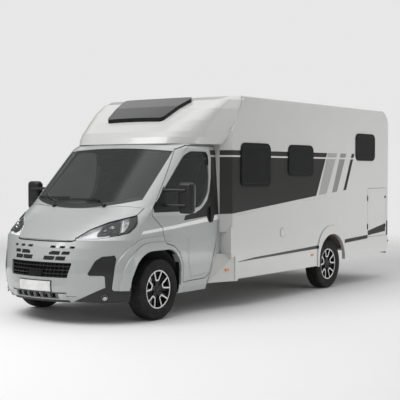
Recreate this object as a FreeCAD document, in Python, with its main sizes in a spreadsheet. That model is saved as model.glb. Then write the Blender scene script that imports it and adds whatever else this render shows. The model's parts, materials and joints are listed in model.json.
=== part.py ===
import FreeCAD, Part
import math
import os
import re
from functools import lru_cache
from types import SimpleNamespace
from FreeCAD import Vector

# Semi-integrated motorhome on a van chassis cab. Millimetres, +Z up, the front faces -Y,
# +X is the vehicle's left. The origin is on the ground under the middle of the whole vehicle.

doc = FreeCAD.newDocument("motorhome")
sheet = doc.addObject("Spreadsheet::Sheet", "Sizes")

sizes = dict(
    # the whole vehicle; a station is a distance behind the front bumper
    total_length=6990,
    front_overhang=1045,
    wheelbase=3973,
    body_width=2320,
    seam=0.2,
    overrun=60,
    door_gap=10,
    # wheels
    tyre_diameter=726,
    tyre_width=225,
    tread_width=186,
    flange_diameter=488,
    rim_wall=9,
    rim_lip=16.5,
    rim_width=178,
    spoke_thickness=34,
    spoke_width=30,
    hub_diameter=150,
    hub_depth=70,
    hub_inset=4,
    hub_cap=8,
    spoke_foot_turn=9,
    spoke_head_turn=15,
    hub_bore=60,
    bore_clearance=0.05,
    front_track=1830,
    rear_track=2020,
    # steering knuckles and the axles
    kingpin_offset=104,
    kingpin_diameter=24,
    kingpin_length=36,
    knuckle_width=56,
    knuckle_depth=90,
    knuckle_height=250,
    running_gap=6,
    subframe_width=150,
    subframe_height=70,
    subframe_half_span=430,
    subframe_height_above_ground=172,
    arm_width=90,
    arm_thickness=34,
    axle_beam_diameter=84,
    axle_flange_diameter=170,
    axle_flange_thickness=26,
    spring_track=1060,
    spring_width=62,
    spring_thickness=26,
    spring_half_length=640,
    spring_rise=92,
    # chassis
    rail_height=160,
    rail_width=70,
    rail_wall=5,
    rail_track=840,
    rail_top=620,
    rail_front=330,
    rail_rear=6800,
    crossmember_size=70,
    tow_member_height=60,
    tow_member_depth=135,
    tow_hole_diameter=17,
    tow_hole_spacing_across=260,
    tow_hole_spacing_up=70,
    engine_width=700,
    engine_length=520,
    engine_height=480,
    engine_bottom=330,
    engine_front=400,
    # cab body
    cab_width=2010,
    cab_roof_height=2100,
    cab_nose_run=1515,
    cab_corner_depth=640,
    cab_rear=2370,
    cab_wall=60,
    cab_roof_thickness=34,
    glass_thickness=12,
    cab_floor_top=680,
    cab_floor_thickness=60,
    firewall_station=1000,
    firewall_thickness=30,
    firewall_top=1250,
    arch_half_width=457,
    arch_top=826,
    arch_front_radius=370,
    arch_rear_radius=260,
    arch_shift=-40,
    arch_bottom=200,
    flare_reach=160,
    flare_proud=30,
    liner_radius=476,
    liner_wall=6,
    liner_inner_side=520,
    bumper_top=960,
    bumper_rear=440,
    door_front=945,
    door_rear=2270,
    door_bottom=405,
    door_top=2076,
    door_corner=24,
    door_glass_front=985,
    door_glass_rear=2130,
    door_glass_bottom=1266,
    door_glass_top=2005,
    door_glass_depth=14,
    mirror_base_rear=1210,
    screen_bottom=1315,
    screen_bottom_corner=1420,
    screen_top_corner=2005,
    screen_top=2045,
    screen_bottom_width=1720,
    screen_top_width=1700,
    cowl_height=46,
    screen_depth=6,
    bonnet_front_width=900,
    bonnet_rear_width=1850,
    bonnet_front=150,
    bonnet_rear_middle=655,
    bonnet_rear_corner=840,
    bonnet_middle_height=1315,
    bonnet_corner_height=1385,
    bonnet_lean=600,
    bonnet_rise=1000,
    shelf_top=1250,
    grille_top_width=966,
    grille_bottom_width=888,
    grille_top=715,
    grille_bottom=545,
    grille_bar=12,
    grille_depth=26,
    slot_top=900,
    slot_bottom=742,
    intake_top=380,
    intake_bottom=300,
    intake_top_width=1120,
    intake_bottom_width=1060,
    lamp_turn=40,
    lamp_inner=489,
    lamp_run=708,
    lamp_low=985,
    lamp_rise=260,
    insert_turn=45,
    insert_inner=564,
    insert_run=640,
    insert_low=268,
    insert_rise=532,
    fog_diameter=88,
    fog_side=800,
    fog_height=345,
    # overcab cap
    cap_front=1478,
    cap_top=2738,
    cap_wall=30,
    cap_flank_station=2430,
    cap_rear=2660,
    skylight_front=1800,
    skylight_rear=2330,
    skylight_front_width=930,
    skylight_rear_width=1180,
    skylight_proud=40,
    # living body
    wall_thickness=30,
    wall_bottom=660,
    wall_top=2700,
    wall_knee_height=2280,
    roof_front=2640,
    roof_thickness=36,
    rear_plane=6960,
    rear_corner_radius=250,
    floor_thickness=60,
    floor_bottom=620,
    skirt_bottom=368,
    skirt_rear_low=404,
    skirt_rear_high=436,
    rear_bumper_bottom=400,
    skirt_thickness=34,
    skirt_proud=4,
    skirt_front_bottom=344,
    skirt_nose_top=700,
    skirt_nose_station=2045,
    skirt_nose_lean=190,
    rear_arch_half_width=397,
    rear_arch_top=814,
    rear_arch_radius=380,
    lip_width=42,
    lip_rise=126,
    lip_proud=22,
    rear_liner_radius=440,
    rear_liner_inner_side=830,
    fairing_front=2300,
    fairing_bottom=980,
    fairing_top=2260,
    # windows: front station, rear station, bottom, top
    window_frame=26,
    window_proud=12,
    window_corner=62,
    window_one_front=2626,
    window_one_rear=3180,
    window_one_bottom=1559,
    window_one_top=2115,
    window_two_front=3764,
    window_two_rear=4430,
    window_two_bottom=1692,
    window_two_top=2097,
    window_three_front=5860,
    window_three_rear=6325,
    window_three_bottom=1920,
    window_three_top=2336,
    # service and entrance doors
    garage_front=6223,
    garage_rear=6896,
    garage_bottom=700,
    garage_top=1484,
    garage_corner=30,
    entry_front=2780,
    entry_width=600,
    entry_bottom=700,
    entry_top=2440,
    entry_corner=70,
    entry_window_width=330,
    entry_window_height=470,
    entry_window_top_inset=230,
    # hinges on the side walls
    hinge_out=8,
    hinge_pin=8,
    hinge_sleeve=15,
    hinge_height=60,
    sleeve_height=22,
    hinge_gap=1,
    hinge_leaf=26,
    # door mirrors
    mirror_centre_side=1262,
    mirror_width=200,
    mirror_height=370,
    mirror_depth=100,
    mirror_station=1310,
    mirror_centre_height=1440,
    mirror_arm=34,
    # rear end
    bumper_bottom=384,
    rear_bumper_depth=70,
    lamp_width=120,
    lamp_height=210,
    lamp_bottom=430,
    lamp_inset=150,
    marker_bottom=2326,
    marker_height=111,
    marker_width=70,
    marker_depth=12,
    # under the floor
    tank_width=560,
    tank_length=760,
    tank_height=200,
    tank_inner_side=460,
    fuel_tank_front=2700,
    waste_tank_front=3500,
    exhaust_side=250,
    exhaust_height=400,
    exhaust_rear=3700,
    silencer_front=2800,
    hanger_width=60,
    crossmember_one=1560,
    crossmember_two=2500,
    crossmember_three=3600,
    crossmember_four=5700,
    exhaust_diameter=60,
    silencer_diameter=180,
    silencer_length=520,
    # inside the cab
    dash_depth=420,
    dash_height=260,
    dash_top=1240,
    seat_width=500,
    seat_depth=500,
    seat_cushion=140,
    seat_cushion_bottom=880,
    seat_back_height=640,
    seat_back_thickness=130,
    seat_station=1760,
    seat_track=900,
    wheel_ring_diameter=390,
    wheel_ring_thickness=30,
    roof_light_size=500,
    roof_light_side=300,
    roof_light_front=4420,
    roof_light_rear=5640,
    roof_light_height=90,
    back_round_share=0.35,
    slots_width_share=0.8,
    ring_reach_share=0.2,
    head_gap_share=1.5,
    head_depth_share=0.9,
    head_round_share=0.3,
    light_edge_share=0.7,
    light_bevel_share=0.4,
    roof_round_share=0.7,
    mirror_rim_share=0.15,
    mirror_back_share=0.5,
    nose_skin_share=1.5,
    cushion_round_share=0.4,
    dash_edge_share=0.1,
    dash_front_share=0.3,
    dash_belly_share=0.35,
    dash_top_share=0.2,
    pedestal_inset_share=0.1,
    pedestal_width_share=0.8,
    slot_width_share=0.32,
    spoke_root_share=0.8,
    roof_opening_share=0.68,
    fairing_flare_share=1.01,
    panel_reach_share=0.8,
    window_reach_share=0.7,
)
for row, (name, value) in enumerate(sizes.items(), start=1):
    sheet.set(f"A{row}", name)
    sheet.set(f"B{row}", str(value))
    sheet.setAlias(f"B{row}", name)
doc.recompute()
d = SimpleNamespace(**{name: float(sheet.get(name)) for name in sizes})

half_length = d.total_length / 2
side_plane = d.body_width / 2
front_axle = d.front_overhang
rear_axle = d.front_overhang + d.wheelbase
arch_radii = (d.arch_front_radius, d.arch_rear_radius)
rear_arch_radii = (d.rear_arch_radius, d.rear_arch_radius)
wheel_radius = d.tyre_diameter / 2
nodes = {}

# Shares that shape the cab: each row is one level of it.
# height, nose station, half width, corner depth, and the squareness of the corner
cab_level_shares = (
    (0.129, 0.040, 0.960, 0.97, 2.2),
    (0.160, 0.009, 0.982, 1.00, 2.2),
    (0.214, 0.000, 0.994, 1.00, 2.2),
    (0.286, 0.012, 1.000, 0.93, 2.35),
    (0.357, 0.041, 1.000, 0.86, 2.5),
    (0.419, 0.080, 1.000, 0.75, 2.7),
    (0.462, 0.1155, 0.998, 0.66, 3.0),
    (0.505, 0.187, 0.996, 0.61, 3.1),
    (0.548, 0.267, 0.994, 0.56, 3.2),
    (0.590, 0.353, 0.990, 0.515, 3.4),
    (0.633, 0.449, 0.986, 0.47, 3.6),
    (0.676, 0.525, 0.978, 0.42, 4.0),
    (0.971, 0.945, 0.935, 0.36, 4.0),
    (0.990, 0.975, 0.918, 0.38, 3.6),
    (1.000, 0.990, 0.898, 0.40, 3.2),
)
corner_power = 0.77
front_curve_shares = (0.0, 0.3, 0.56, 0.76, 0.89, 0.965, 1.0)
inner_curve_shares = (0.0, 0.5, 0.74, 0.9, 0.98, 1.0)
fine_curve_shares = (0.0, 0.2, 0.38, 0.54, 0.67, 0.78, 0.86, 0.92, 0.965, 0.99, 1.0)
hollow_levels = (0, 2, 4, 6, 8, 10, 11, 12, 14)
windscreen_foot_share = 0.7
flare_shares = ((0.4, 1.0), (1.0, 0.6))

# Shares that shape the overcab cap: height between its foot and its top, nose station as a
# share of its run, shoulder half width, shoulder depth, full half width, station of full width
cap_level_shares = (
    (0.00, 0.000, 0.76, 0.26, 0.930, 1.00),
    (0.13, 0.042, 0.775, 0.26, 0.985, 1.00),
    (0.24, 0.108, 0.785, 0.25, 1.000, 1.00),
    (0.47, 0.348, 0.82, 0.18, 1.000, 1.02),
    (0.72, 0.618, 0.87, 0.14, 0.998, 1.07),
    (0.91, 0.882, 0.90, 0.10, 0.985, 1.168),
    (1.00, 1.152, 0.90, 0.03, 0.955, 1.22),
)
# points of the cap's front: share of the shoulder's side, share of its depth
cap_front_shares = ((0.0, 0.0), (0.5, 0.08), (0.82, 0.36), (1.0, 1.0))
cap_flank_share = 0.3


def words(text):
    """An expression in size names, bound to the sheet's cells."""
    return re.sub(r"[a-z][a-z_]+", lambda found: "Sizes." + found.group(), text)


def box(name, lengths, corner):
    made = doc.addObject("Part::Box", name)
    for prop, text in zip(("Length", "Width", "Height"), lengths):
        made.setExpression(prop, words(text))
    for axis, text in zip("xyz", corner):
        made.setExpression("Placement.Base." + axis, words(text))
    return made


def bar(name, radius, length, corner, direction):
    made = doc.addObject("Part::Cylinder", name)
    made.setExpression("Radius", words(radius))
    made.setExpression("Height", words(length))
    turn = FreeCAD.Rotation(Vector(0, 0, 1), direction)
    made.Placement = FreeCAD.Placement(Vector(0, 0, 0), turn)
    for axis, text in zip("xyz", corner):
        made.setExpression("Placement.Base." + axis, words(text))
    return made


def join(name, pieces):
    made = doc.addObject("Part::MultiFuse", name)
    made.Shapes = pieces
    made.Refine = True
    return made


def cut(name, base, tool):
    made = doc.addObject("Part::Cut", name)
    made.Base = base
    made.Tool = tool
    return made


def node(label, made):
    made.Label = label
    nodes[label] = made
    return made


def feature(label, shape):
    """One piece whose shape is worked out below from the sheet."""
    made = doc.addObject("Part::Feature", label)
    made.Shape = shape
    return node(label, made)


def at(side, station, height):
    return Vector(side, station - half_length, height)


def mirrored(shape):
    return shape.mirror(Vector(0, 0, 0), Vector(1, 0, 0))


def rounded(points, radii):
    """A closed wire through corner points, each corner rounded by its radius."""
    edges = []
    count = len(points)
    radii = list(radii) if isinstance(radii, (tuple, list)) else [radii] * count
    ends = []
    for index in range(count):
        here, before, after = points[index], points[index - 1], points[(index + 1) % count]
        radius = radii[index]
        if radius == 0:
            ends.append((here, here, None))
            continue
        back = (before - here).normalize()
        ahead = (after - here).normalize()
        half = back.getAngle(ahead) / 2
        reach = radius / math.tan(half)
        bisector = (back + ahead).normalize()
        middle = here + bisector * (radius / math.sin(half) - radius)
        ends.append((here + back * reach, here + ahead * reach, middle))
    for index in range(count):
        start, stop, middle = ends[index]
        if middle is not None:
            edges.append(Part.Arc(start, middle, stop).toShape())
        following = ends[(index + 1) % count][0]
        if stop.distanceToPoint(following) > d.seam:
            edges.append(Part.LineSegment(stop, following).toShape())
    return Part.Wire(edges)


def prism(wire, push):
    return Part.Face(wire).extrude(push)


def side_prism(outline, radii, low, high):
    """A plate seen from the side: stations and heights, between two side distances."""
    points = [at(low, station, height) for station, height in outline]
    return prism(rounded(points, radii), Vector(high - low, 0, 0))


def slab(low, high):
    """A box between two corners given as side, station, height."""
    a = at(*low)
    b = at(*high)
    return Part.makeBox(b.x - a.x, b.y - a.y, b.z - a.z, a)


def round_x(radius, low, high, station, height):
    """A cylinder along X."""
    return Part.makeCylinder(radius, high - low, at(low, station, height), Vector(1, 0, 0))


def corner_share(across, squareness):
    return 1 - (1 - across ** squareness) ** corner_power


def cab_half_points(shares, inset, lift, across_shares):
    """Points of the front's left half at one level, from the middle to the flank."""
    height = shares[0] * d.cab_roof_height + lift
    nose = shares[1] * d.cab_nose_run + inset
    half = shares[2] * d.cab_width / 2 - inset
    depth = shares[3] * d.cab_corner_depth
    return [at(half * share, nose + depth * corner_share(share, shares[4]), height)
            for share in across_shares]


def across(point):
    return Vector(-point.x, point.y, point.z)


def cab_outline(shares, inset=0):
    """One level of the cab as a closed wire: a bowed front with rounded corners."""
    left = cab_half_points(shares, inset, 0, front_curve_shares)
    right = [across(point) for point in reversed(left[1:])]
    curve = Part.BSplineCurve()
    curve.interpolate(right + left)
    back = Vector(left[-1].x, d.cab_rear - half_length, left[-1].z)
    return Part.Wire([curve.toShape(), Part.makePolygon([left[-1], back]).Edges[0],
                      Part.makePolygon([back, across(back)]).Edges[0],
                      Part.makePolygon([across(back), right[0]]).Edges[0]])


def cab_inner_outline(shares, inset, lift, across_shares):
    """One level of a hollow: corner points of flat panels behind the curved front."""
    left = cab_half_points(shares, inset, lift, across_shares)
    back = Vector(left[-1].x, d.cab_rear + d.overrun - half_length, left[-1].z)
    right = [across(point) for point in reversed(left[1:])]
    return right + left + [back, across(back)]


def flat_form(rings):
    """A closed form of flat panels between level rings with as many points each."""
    faces = [Part.Face(Part.makePolygon(ring + ring[:1])) for ring in (rings[0], rings[-1])]
    for low, high in zip(rings, rings[1:]):
        for index in range(len(low)):
            a, b, c, e = low[index - 1], low[index], high[index], high[index - 1]
            for corners in ([a, b, c], [a, c, e]):
                faces.append(Part.Face(Part.makePolygon(corners + corners[:1])))
    return Part.Solid(Part.Shell(faces)).removeSplitter()


@lru_cache(None)
def cab_form(inset=0, first_level=0):
    rows = cab_level_shares[first_level:]
    return Part.makeLoft([cab_outline(shares, inset) for shares in rows], True, True)


@lru_cache(None)
def cab_hollow(inset, top_drop):
    """The cab's form drawn in by an inset all round and a drop under the roof."""
    rings = [cab_inner_outline(cab_level_shares[0], inset, -d.overrun, inner_curve_shares)]
    for level in hollow_levels:
        shares = cab_level_shares[level]
        is_roof = shares[0] > windscreen_foot_share
        rings.append(cab_inner_outline(shares, inset, -top_drop if is_roof else 0,
                                       inner_curve_shares))
    return flat_form(rings)


@lru_cache(None)
def cab_fine_hollow(inset):
    """The same with finer panels, for the backs of glass and grilles."""
    return flat_form([cab_inner_outline(shares, inset, 0, fine_curve_shares)
                      for shares in cab_level_shares])


def cap_outline(shares, inset, lift):
    """One level of the overcab cap: a curved wire, or corner points for the hollow."""
    height = d.cab_roof_height + shares[0] * (d.cap_top - d.cab_roof_height) + lift
    run = d.cap_flank_station - d.cap_front
    nose = d.cap_front + shares[1] * run + inset
    shoulder = shares[2] * side_plane - inset
    depth = shares[3] * run
    full = at(shares[4] * side_plane - inset, d.cap_front + shares[5] * run + inset, height)
    left = [at(shoulder * side_share, nose + depth * depth_share, height)
            for side_share, depth_share in cap_front_shares]
    left.append(left[-1] + (full - left[-1]) * cap_flank_share)
    right = [across(point) for point in reversed(left[1:])]
    rear = Vector(full.x, d.cap_rear + d.overrun + inset - half_length, height)
    flank = [left[-1], full, rear, across(rear), across(full), right[0]]
    if inset:
        return right + left + flank[1:-1]
    curve = Part.BSplineCurve()
    curve.interpolate(right + left)
    return Part.Wire([curve.toShape()] + Part.makePolygon(flank).Edges)


def arch_wire(side, station, half, top, radii, bottom):
    """A wheel opening: upright sides and a top rounded by a front and a rear radius."""
    points = [at(side, station - half, bottom), at(side, station - half, top),
              at(side, station + half, top), at(side, station + half, bottom)]
    return rounded(points, (0, radii[0], radii[1], 0))


def arch_prism(station, half, top, radii, low, high):
    return prism(arch_wire(low, station, half, top, radii, d.arch_bottom),
                 Vector(high - low, 0, 0))



def placed(shares, front, rear, bottom, top):
    """An outline given in shares of a side-view frame."""
    return [(front + across_share * (rear - front), bottom + up_share * (top - bottom))
            for across_share, up_share in shares]


def both(shape):
    return [shape, mirrored(shape)]


def cut_all(base, tools):
    return base.cut(tools)


def turned_wire(outline, radii, turn, reach):
    """An outline seen square to a front corner of the cab, and out in front of it."""
    angle = math.radians(turn)
    along = Vector(math.cos(angle), math.sin(angle), 0)
    outward = Vector(math.sin(angle), -math.cos(angle), 0)
    base = at(0, 0, 0)
    points = [base + along * across_size + outward * reach + Vector(0, 0, height)
              for across_size, height in outline]
    return rounded(points, radii)


def turned_prism(outline, radii, turn, reach, depth):
    angle = math.radians(turn)
    inward = Vector(-math.sin(angle), math.cos(angle), 0)
    return prism(turned_wire(outline, radii, turn, reach), inward * depth)


def front_prism(outline, radii, first_station, last_station):
    """A prism pushed in from the front: sides and heights."""
    points = [at(side, first_station, height) for side, height in outline]
    return prism(rounded(points, radii), Vector(0, last_station - first_station, 0))


def flare_form():
    """A stepped ring round the left front wheel opening, following the body's curve."""
    centre = front_axle + d.arch_shift
    rings = []
    for proud_share, reach_share in flare_shares:
        reach = d.flare_reach * reach_share
        ring = prism(arch_wire(d.liner_inner_side, centre, d.arch_half_width + reach,
                               d.arch_top + reach,
                               [radius + reach / 2 for radius in arch_radii],
                               d.bumper_bottom),
                     Vector(d.body_width, 0, 0))
        rings.append(cab_form(-d.flare_proud * proud_share).common(ring))
    return rings[0].fuse(rings[1:])


# The cab: one hollow form, cut into the panels of the real one.
cab_outer = cab_form()
cab_inner = cab_hollow(d.cab_wall, d.cab_roof_thickness)
cab_half = d.cab_width / 2
wide_half = cab_half + d.flare_proud + d.overrun
arch_centre = front_axle + d.arch_shift
arches = both(arch_prism(arch_centre, d.arch_half_width, d.arch_top, arch_radii,
                         d.liner_inner_side, wide_half))
flares = both(flare_form())
cab_walls = cab_outer.fuse(flares).cut(cab_inner)
cab_walls = cut_all(cab_walls, arches)

door_shares = ((0.166, 0.296), (0.147, 0.404), (0.0, 0.497), (0.0, 0.532), (0.464, 0.972),
               (0.57, 1.0), (1.0, 1.0), (1.0, 0.344), (0.87, 0.039), (0.79, 0.006),
               (0.419, 0.0), (0.413, 0.141), (0.362, 0.221), (0.283, 0.272))
door_points = placed(door_shares, d.door_front, d.door_rear, d.door_bottom, d.door_top)
glass_shares = ((0.0, 0.026), (0.5, 0.0), (0.82, 0.07), (0.97, 0.29), (1.0, 0.58), (1.0, 1.0),
                (0.63, 1.0), (0.0, 0.07))
glass_radii_shares = (0.02, 0.3, 0.3, 0.3, 0.2, 0.12, 0.3, 0.02)
glass_points = placed(glass_shares, d.door_glass_front, d.door_glass_rear,
                      d.door_glass_bottom, d.door_glass_top)
glass_height = d.door_glass_top - d.door_glass_bottom
glass_radii = [share * glass_height for share in glass_radii_shares]


def door_wire(gap):
    points = [at(0, station, height) for station, height in door_points]
    wire = rounded(points, d.door_corner)
    if gap:
        wire = wire.makeOffset2D(gap)
    return wire


def door_prism(gap):
    wire = door_wire(gap)
    wire.translate(Vector(cab_half * d.panel_reach_share, 0, 0))
    return prism(wire, Vector(wide_half - cab_half * d.panel_reach_share, 0, 0))


door_opening = door_prism(d.door_gap / 2)
door_plug = door_prism(-d.door_gap / 2)
glass_opening = side_prism(glass_points, glass_radii, cab_half * d.window_reach_share, wide_half)


# bonnet: wider towards the windscreen, its edges leaning the way it swings
bonnet_edge_shares = ((0.0, 0.04, 0.0), (0.358, 0.275, 0.27), (0.695, 0.507, 0.482),
                      (0.97, 0.80, 0.66), (1.0, 1.0, 1.0))


def bonnet_prism(gap):
    front_half = d.bonnet_front_width / 2
    rear_half = d.bonnet_rear_width / 2
    run = d.bonnet_rear_corner - d.bonnet_front
    rise = d.bonnet_corner_height - d.bumper_top
    slope = d.bonnet_lean / d.bonnet_rise
    base = d.bumper_top - rise

    def foot(side, station, height):
        return at(side, station + (height - base) * slope, base)

    left = [foot(front_half + share[0] * (rear_half - front_half) + gap,
                 d.bonnet_front + share[1] * run, d.bumper_top + share[2] * rise)
            for share in bonnet_edge_shares]
    left[0:0] = [foot(front_half + gap, d.bonnet_front - run, d.bumper_top)]
    left[-1] = left[-1] + Vector(0, gap, 0)
    right = [across(point) for point in reversed(left)]
    middle = foot(0, d.bonnet_rear_middle + gap, d.bonnet_middle_height)
    edges = Part.makePolygon(left).Edges + [Part.Arc(left[-1], middle, right[0]).toShape()]
    edges += Part.makePolygon(right + [left[0]]).Edges
    lean = prism(Part.Wire(edges), Vector(0, -d.bonnet_lean, d.bonnet_rise))
    above = slab((-wide_half, -d.total_length, d.bumper_top - gap),
                 (wide_half, d.total_length, d.cab_roof_height))
    return lean.common(above)


# windscreen opening, seen from the front, with the cowl along its foot
def screen_prism(trim, foot_lift):
    side_lean = (d.screen_bottom_width - d.screen_top_width) / 2 / (
        d.screen_top_corner - d.screen_bottom_corner)
    foot_half = d.screen_bottom_width / 2 - trim - foot_lift * side_lean
    head_half = d.screen_top_width / 2 - trim
    lift = foot_lift + trim
    station = d.bonnet_front
    foot = Part.Arc(at(-foot_half, station, d.screen_bottom_corner + lift),
                    at(0, station, d.screen_bottom + lift),
                    at(foot_half, station, d.screen_bottom_corner + lift)).toShape()
    head = Part.Arc(at(head_half, station, d.screen_top_corner - trim),
                    at(0, station, d.screen_top - trim),
                    at(-head_half, station, d.screen_top_corner - trim)).toShape()
    sides = [Part.makeLine(foot.Vertexes[-1].Point, head.Vertexes[0].Point),
             Part.makeLine(head.Vertexes[-1].Point, foot.Vertexes[0].Point)]
    wire = Part.Wire([foot, sides[0], head, sides[1]])
    return prism(wire, Vector(0, d.seat_station - station, 0))


screen_opening = screen_prism(0, 0)
screen_plug = screen_prism(d.seam, d.cowl_height)
cowl_plug = screen_prism(d.seam, 0).cut(screen_prism(0, d.cowl_height - d.seam))

# lamps, corner inserts and the openings in the nose
lamp_shares = ((0.0, 0.0), (0.37, 0.0), (0.66, 0.12), (0.86, 0.24), (1.0, 0.66), (1.0, 1.0),
               (0.54, 0.70), (0.24, 0.38))
lamp_radii_shares = (0.015, 0.23, 0.23, 0.19, 0.12, 0.05, 0.23, 0.23)
lamp_points = placed(lamp_shares, d.lamp_inner, d.lamp_inner + d.lamp_run,
                     d.lamp_low, d.lamp_low + d.lamp_rise)
lamp_radii = [share * d.lamp_rise for share in lamp_radii_shares]
insert_shares = ((0.0, 0.19), (0.056, 0.057), (0.384, 0.028), (1.0, 0.0), (1.0, 0.23),
                 (0.489, 0.245), (0.572, 1.0), (0.29, 0.98), (0.15, 0.70), (0.36, 0.632),
                 (0.378, 0.264))
insert_radii_shares = (0.0, 0.02, 0.02, 0.0, 0.0, 0.06, 0.06, 0.12, 0.04, 0.06, 0.06)
insert_points = placed(insert_shares, d.insert_inner, d.insert_inner + d.insert_run,
                       d.insert_low, d.insert_low + d.insert_rise)
insert_radii = [share * d.insert_rise for share in insert_radii_shares]
corner_reach = d.cab_corner_depth
corner_depth = d.cab_corner_depth * 2


def corner_tool(points, radii, turn, gap):
    """The same outline cut in at both front corners, opened or closed by a gap."""
    tool = turned_prism(points, radii, turn, corner_reach, corner_depth)
    if gap:
        base = turned_wire(points, radii, turn, corner_reach).makeOffset2D(gap)
        angle = math.radians(turn)
        tool = prism(base, Vector(-math.sin(angle), math.cos(angle), 0) * corner_depth)
    return both(tool)


def lamp_shadow(trim):
    """All that lies below the lamps' upper edges, which the bonnet leaves to the shell."""
    edge = [lamp_points[index] for index in (0, 7, 6, 5)]
    outline = [(side + trim, height - trim) for side, height in edge]
    outer = d.lamp_inner + d.cab_width
    outline += [(outer, outline[-1][1]), (outer, d.bumper_bottom),
                (outline[0][0], d.bumper_bottom)]
    return both(turned_prism(outline, 0, d.lamp_turn, corner_reach, corner_depth))


bonnet_opening = cut_all(bonnet_prism(d.door_gap / 2), lamp_shadow(d.door_gap / 2))
bonnet_plug = cut_all(bonnet_prism(-d.door_gap / 2), lamp_shadow(-d.door_gap / 2))


def slot_openings(gap):
    """Three rows of slots each side of a blank middle, longer towards the grille."""
    tools = []
    top_row = d.slot_top - d.slot_bottom
    for up_share, height_share, slots in slot_row_shares:
        height = d.slot_bottom + up_share * top_row
        half_height = height_share * top_row / 2 + gap
        for middle_share, width_share in slots:
            middle = middle_share * d.grille_top_width / 2
            half = width_share * d.grille_top_width / 4 + gap
            for sign in (1, -1):
                low = (sign * middle - half, -d.overrun, height - half_height)
                high = (sign * middle + half, d.bumper_rear, height + half_height)
                tools.append(slab(low, high))
    return tools


slot_row_shares = ((0.92, 0.17, ((0.38, 0.17), (0.66, 0.15), (0.93, 0.13))),
             (0.52, 0.22, ((0.50, 0.27), (0.80, 0.20))),
             (0.12, 0.26, ((0.34, 0.30), (0.68, 0.27))))


def grille_prism(gap):
    top, bottom = d.grille_top_width / 2 + gap, d.grille_bottom_width / 2 + gap
    outline = ((-bottom, d.grille_bottom - gap), (bottom, d.grille_bottom - gap),
               (top, d.grille_top + gap), (-top, d.grille_top + gap))
    return front_prism(outline, d.grille_bar + gap, -d.overrun, d.bumper_rear)


def intake_prism(gap):
    top, bottom = d.intake_top_width / 2 + gap, d.intake_bottom_width / 2 + gap
    outline = ((-bottom, d.intake_bottom - gap), (bottom, d.intake_bottom - gap),
               (top, d.intake_top + gap), (-top, d.intake_top + gap))
    return front_prism(outline, d.grille_bar + gap, -d.overrun, d.bumper_rear)


lamp_openings = corner_tool(lamp_points, lamp_radii, d.lamp_turn, 0)
lamp_plugs = corner_tool(lamp_points, lamp_radii, d.lamp_turn, -d.seam)
insert_openings = corner_tool(insert_points, insert_radii, d.insert_turn, 0)
insert_plugs = corner_tool(insert_points, insert_radii, d.insert_turn, -d.seam)


def fog_bar(radius, depth):
    angle = math.radians(d.insert_turn)
    inward = Vector(-math.sin(angle), math.cos(angle), 0)
    centre = at(d.fog_side, d.bumper_rear, d.fog_height)
    start = centre - inward * d.bumper_rear
    return both(Part.makeCylinder(radius, depth, start, inward))


nose_region = slab((-wide_half, -d.total_length, 0), (wide_half, d.bumper_rear, d.bumper_top))
shell_region_gap = slab((-wide_half, -d.total_length, 0),
                        (wide_half, d.bumper_rear + d.seam, d.bumper_top + d.seam))

lamps = cab_walls.common(Part.makeCompound(lamp_plugs))
fog_lamps = cab_walls.common(Part.makeCompound(fog_bar(d.fog_diameter / 2 - d.seam,
                                                       d.bumper_rear * 2)))
inserts = cut_all(cab_walls.common(Part.makeCompound(insert_plugs)),
                  fog_bar(d.fog_diameter / 2, d.bumper_rear * 2))
bumper = cut_all(cab_walls.common(nose_region),
                 insert_openings + lamp_openings + slot_openings(0)
                 + [grille_prism(0), intake_prism(0)])
bonnet = cut_all(cab_walls.common(bonnet_plug), [screen_opening] + lamp_openings)

# the skirt's nose takes the place of the cab's flank behind and under the door
nose_front = [(d.skirt_nose_station - d.seam, 0), (d.skirt_nose_station - d.seam,
              d.skirt_front_bottom), (d.skirt_nose_station + d.skirt_nose_lean - d.seam,
              d.skirt_nose_top + d.seam), (d.cab_rear + d.overrun, d.skirt_nose_top + d.seam),
              (d.cab_rear + d.overrun, 0)]
nose_cut = side_prism(nose_front, 0, -wide_half, wide_half)
roof_opening = slab((-cab_half * d.roof_opening_share, d.seat_station, d.cab_roof_height - d.overrun * 2),
                    (cab_half * d.roof_opening_share, d.cab_rear + d.overrun,
                     d.cab_roof_height + d.overrun))
shell = cut_all(cab_walls, [shell_region_gap, screen_opening, bonnet_opening, nose_cut,
                            roof_opening] + lamp_openings + insert_openings
                + both(door_opening))
shell = sorted(shell.Solids, key=lambda piece: piece.Volume)[-1]
feature("cab_shell", shell)
feature("front_bumper", bumper)
feature("corner_inserts", inserts)
feature("front_lamps", Part.makeCompound(lamps.Solids + fog_lamps.Solids))
feature("bonnet", bonnet)
for label, door in zip(("cab_door_left", "cab_door_right"), both(cut_all(
        cab_walls.common(door_plug), [glass_opening, screen_prism(-d.door_gap / 2, 0)]))):
    feature(label, door)


# glass and trim that fill the cab's openings
screen_levels = 10
screen_layer = cab_form(d.screen_depth, screen_levels).cut(
    cab_fine_hollow(d.screen_depth + d.glass_thickness))
feature("windscreen", screen_layer.common(screen_plug))
feature("cowl_panel", cut_all(cab_walls.common(cowl_plug), [bonnet_opening]))
glass_plug_wire = rounded([at(cab_half * d.window_reach_share, station, height) for station, height in
                           glass_points], glass_radii).makeOffset2D(-d.seam)
glass_plug = prism(glass_plug_wire, Vector(wide_half - cab_half * d.window_reach_share, 0, 0))
side_glass = cab_fine_hollow(d.door_glass_depth).common(glass_plug).cut(
    cab_fine_hollow(d.door_glass_depth + d.glass_thickness))
behind_base = slab((0, d.mirror_base_rear + d.seam, 0), (wide_half, d.cab_rear, d.cab_roof_height))
feature("door_glass_left", side_glass.common(behind_base))
feature("door_glass_right", mirrored(side_glass.common(behind_base)))

mirror_foot_share = 0.925

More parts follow.
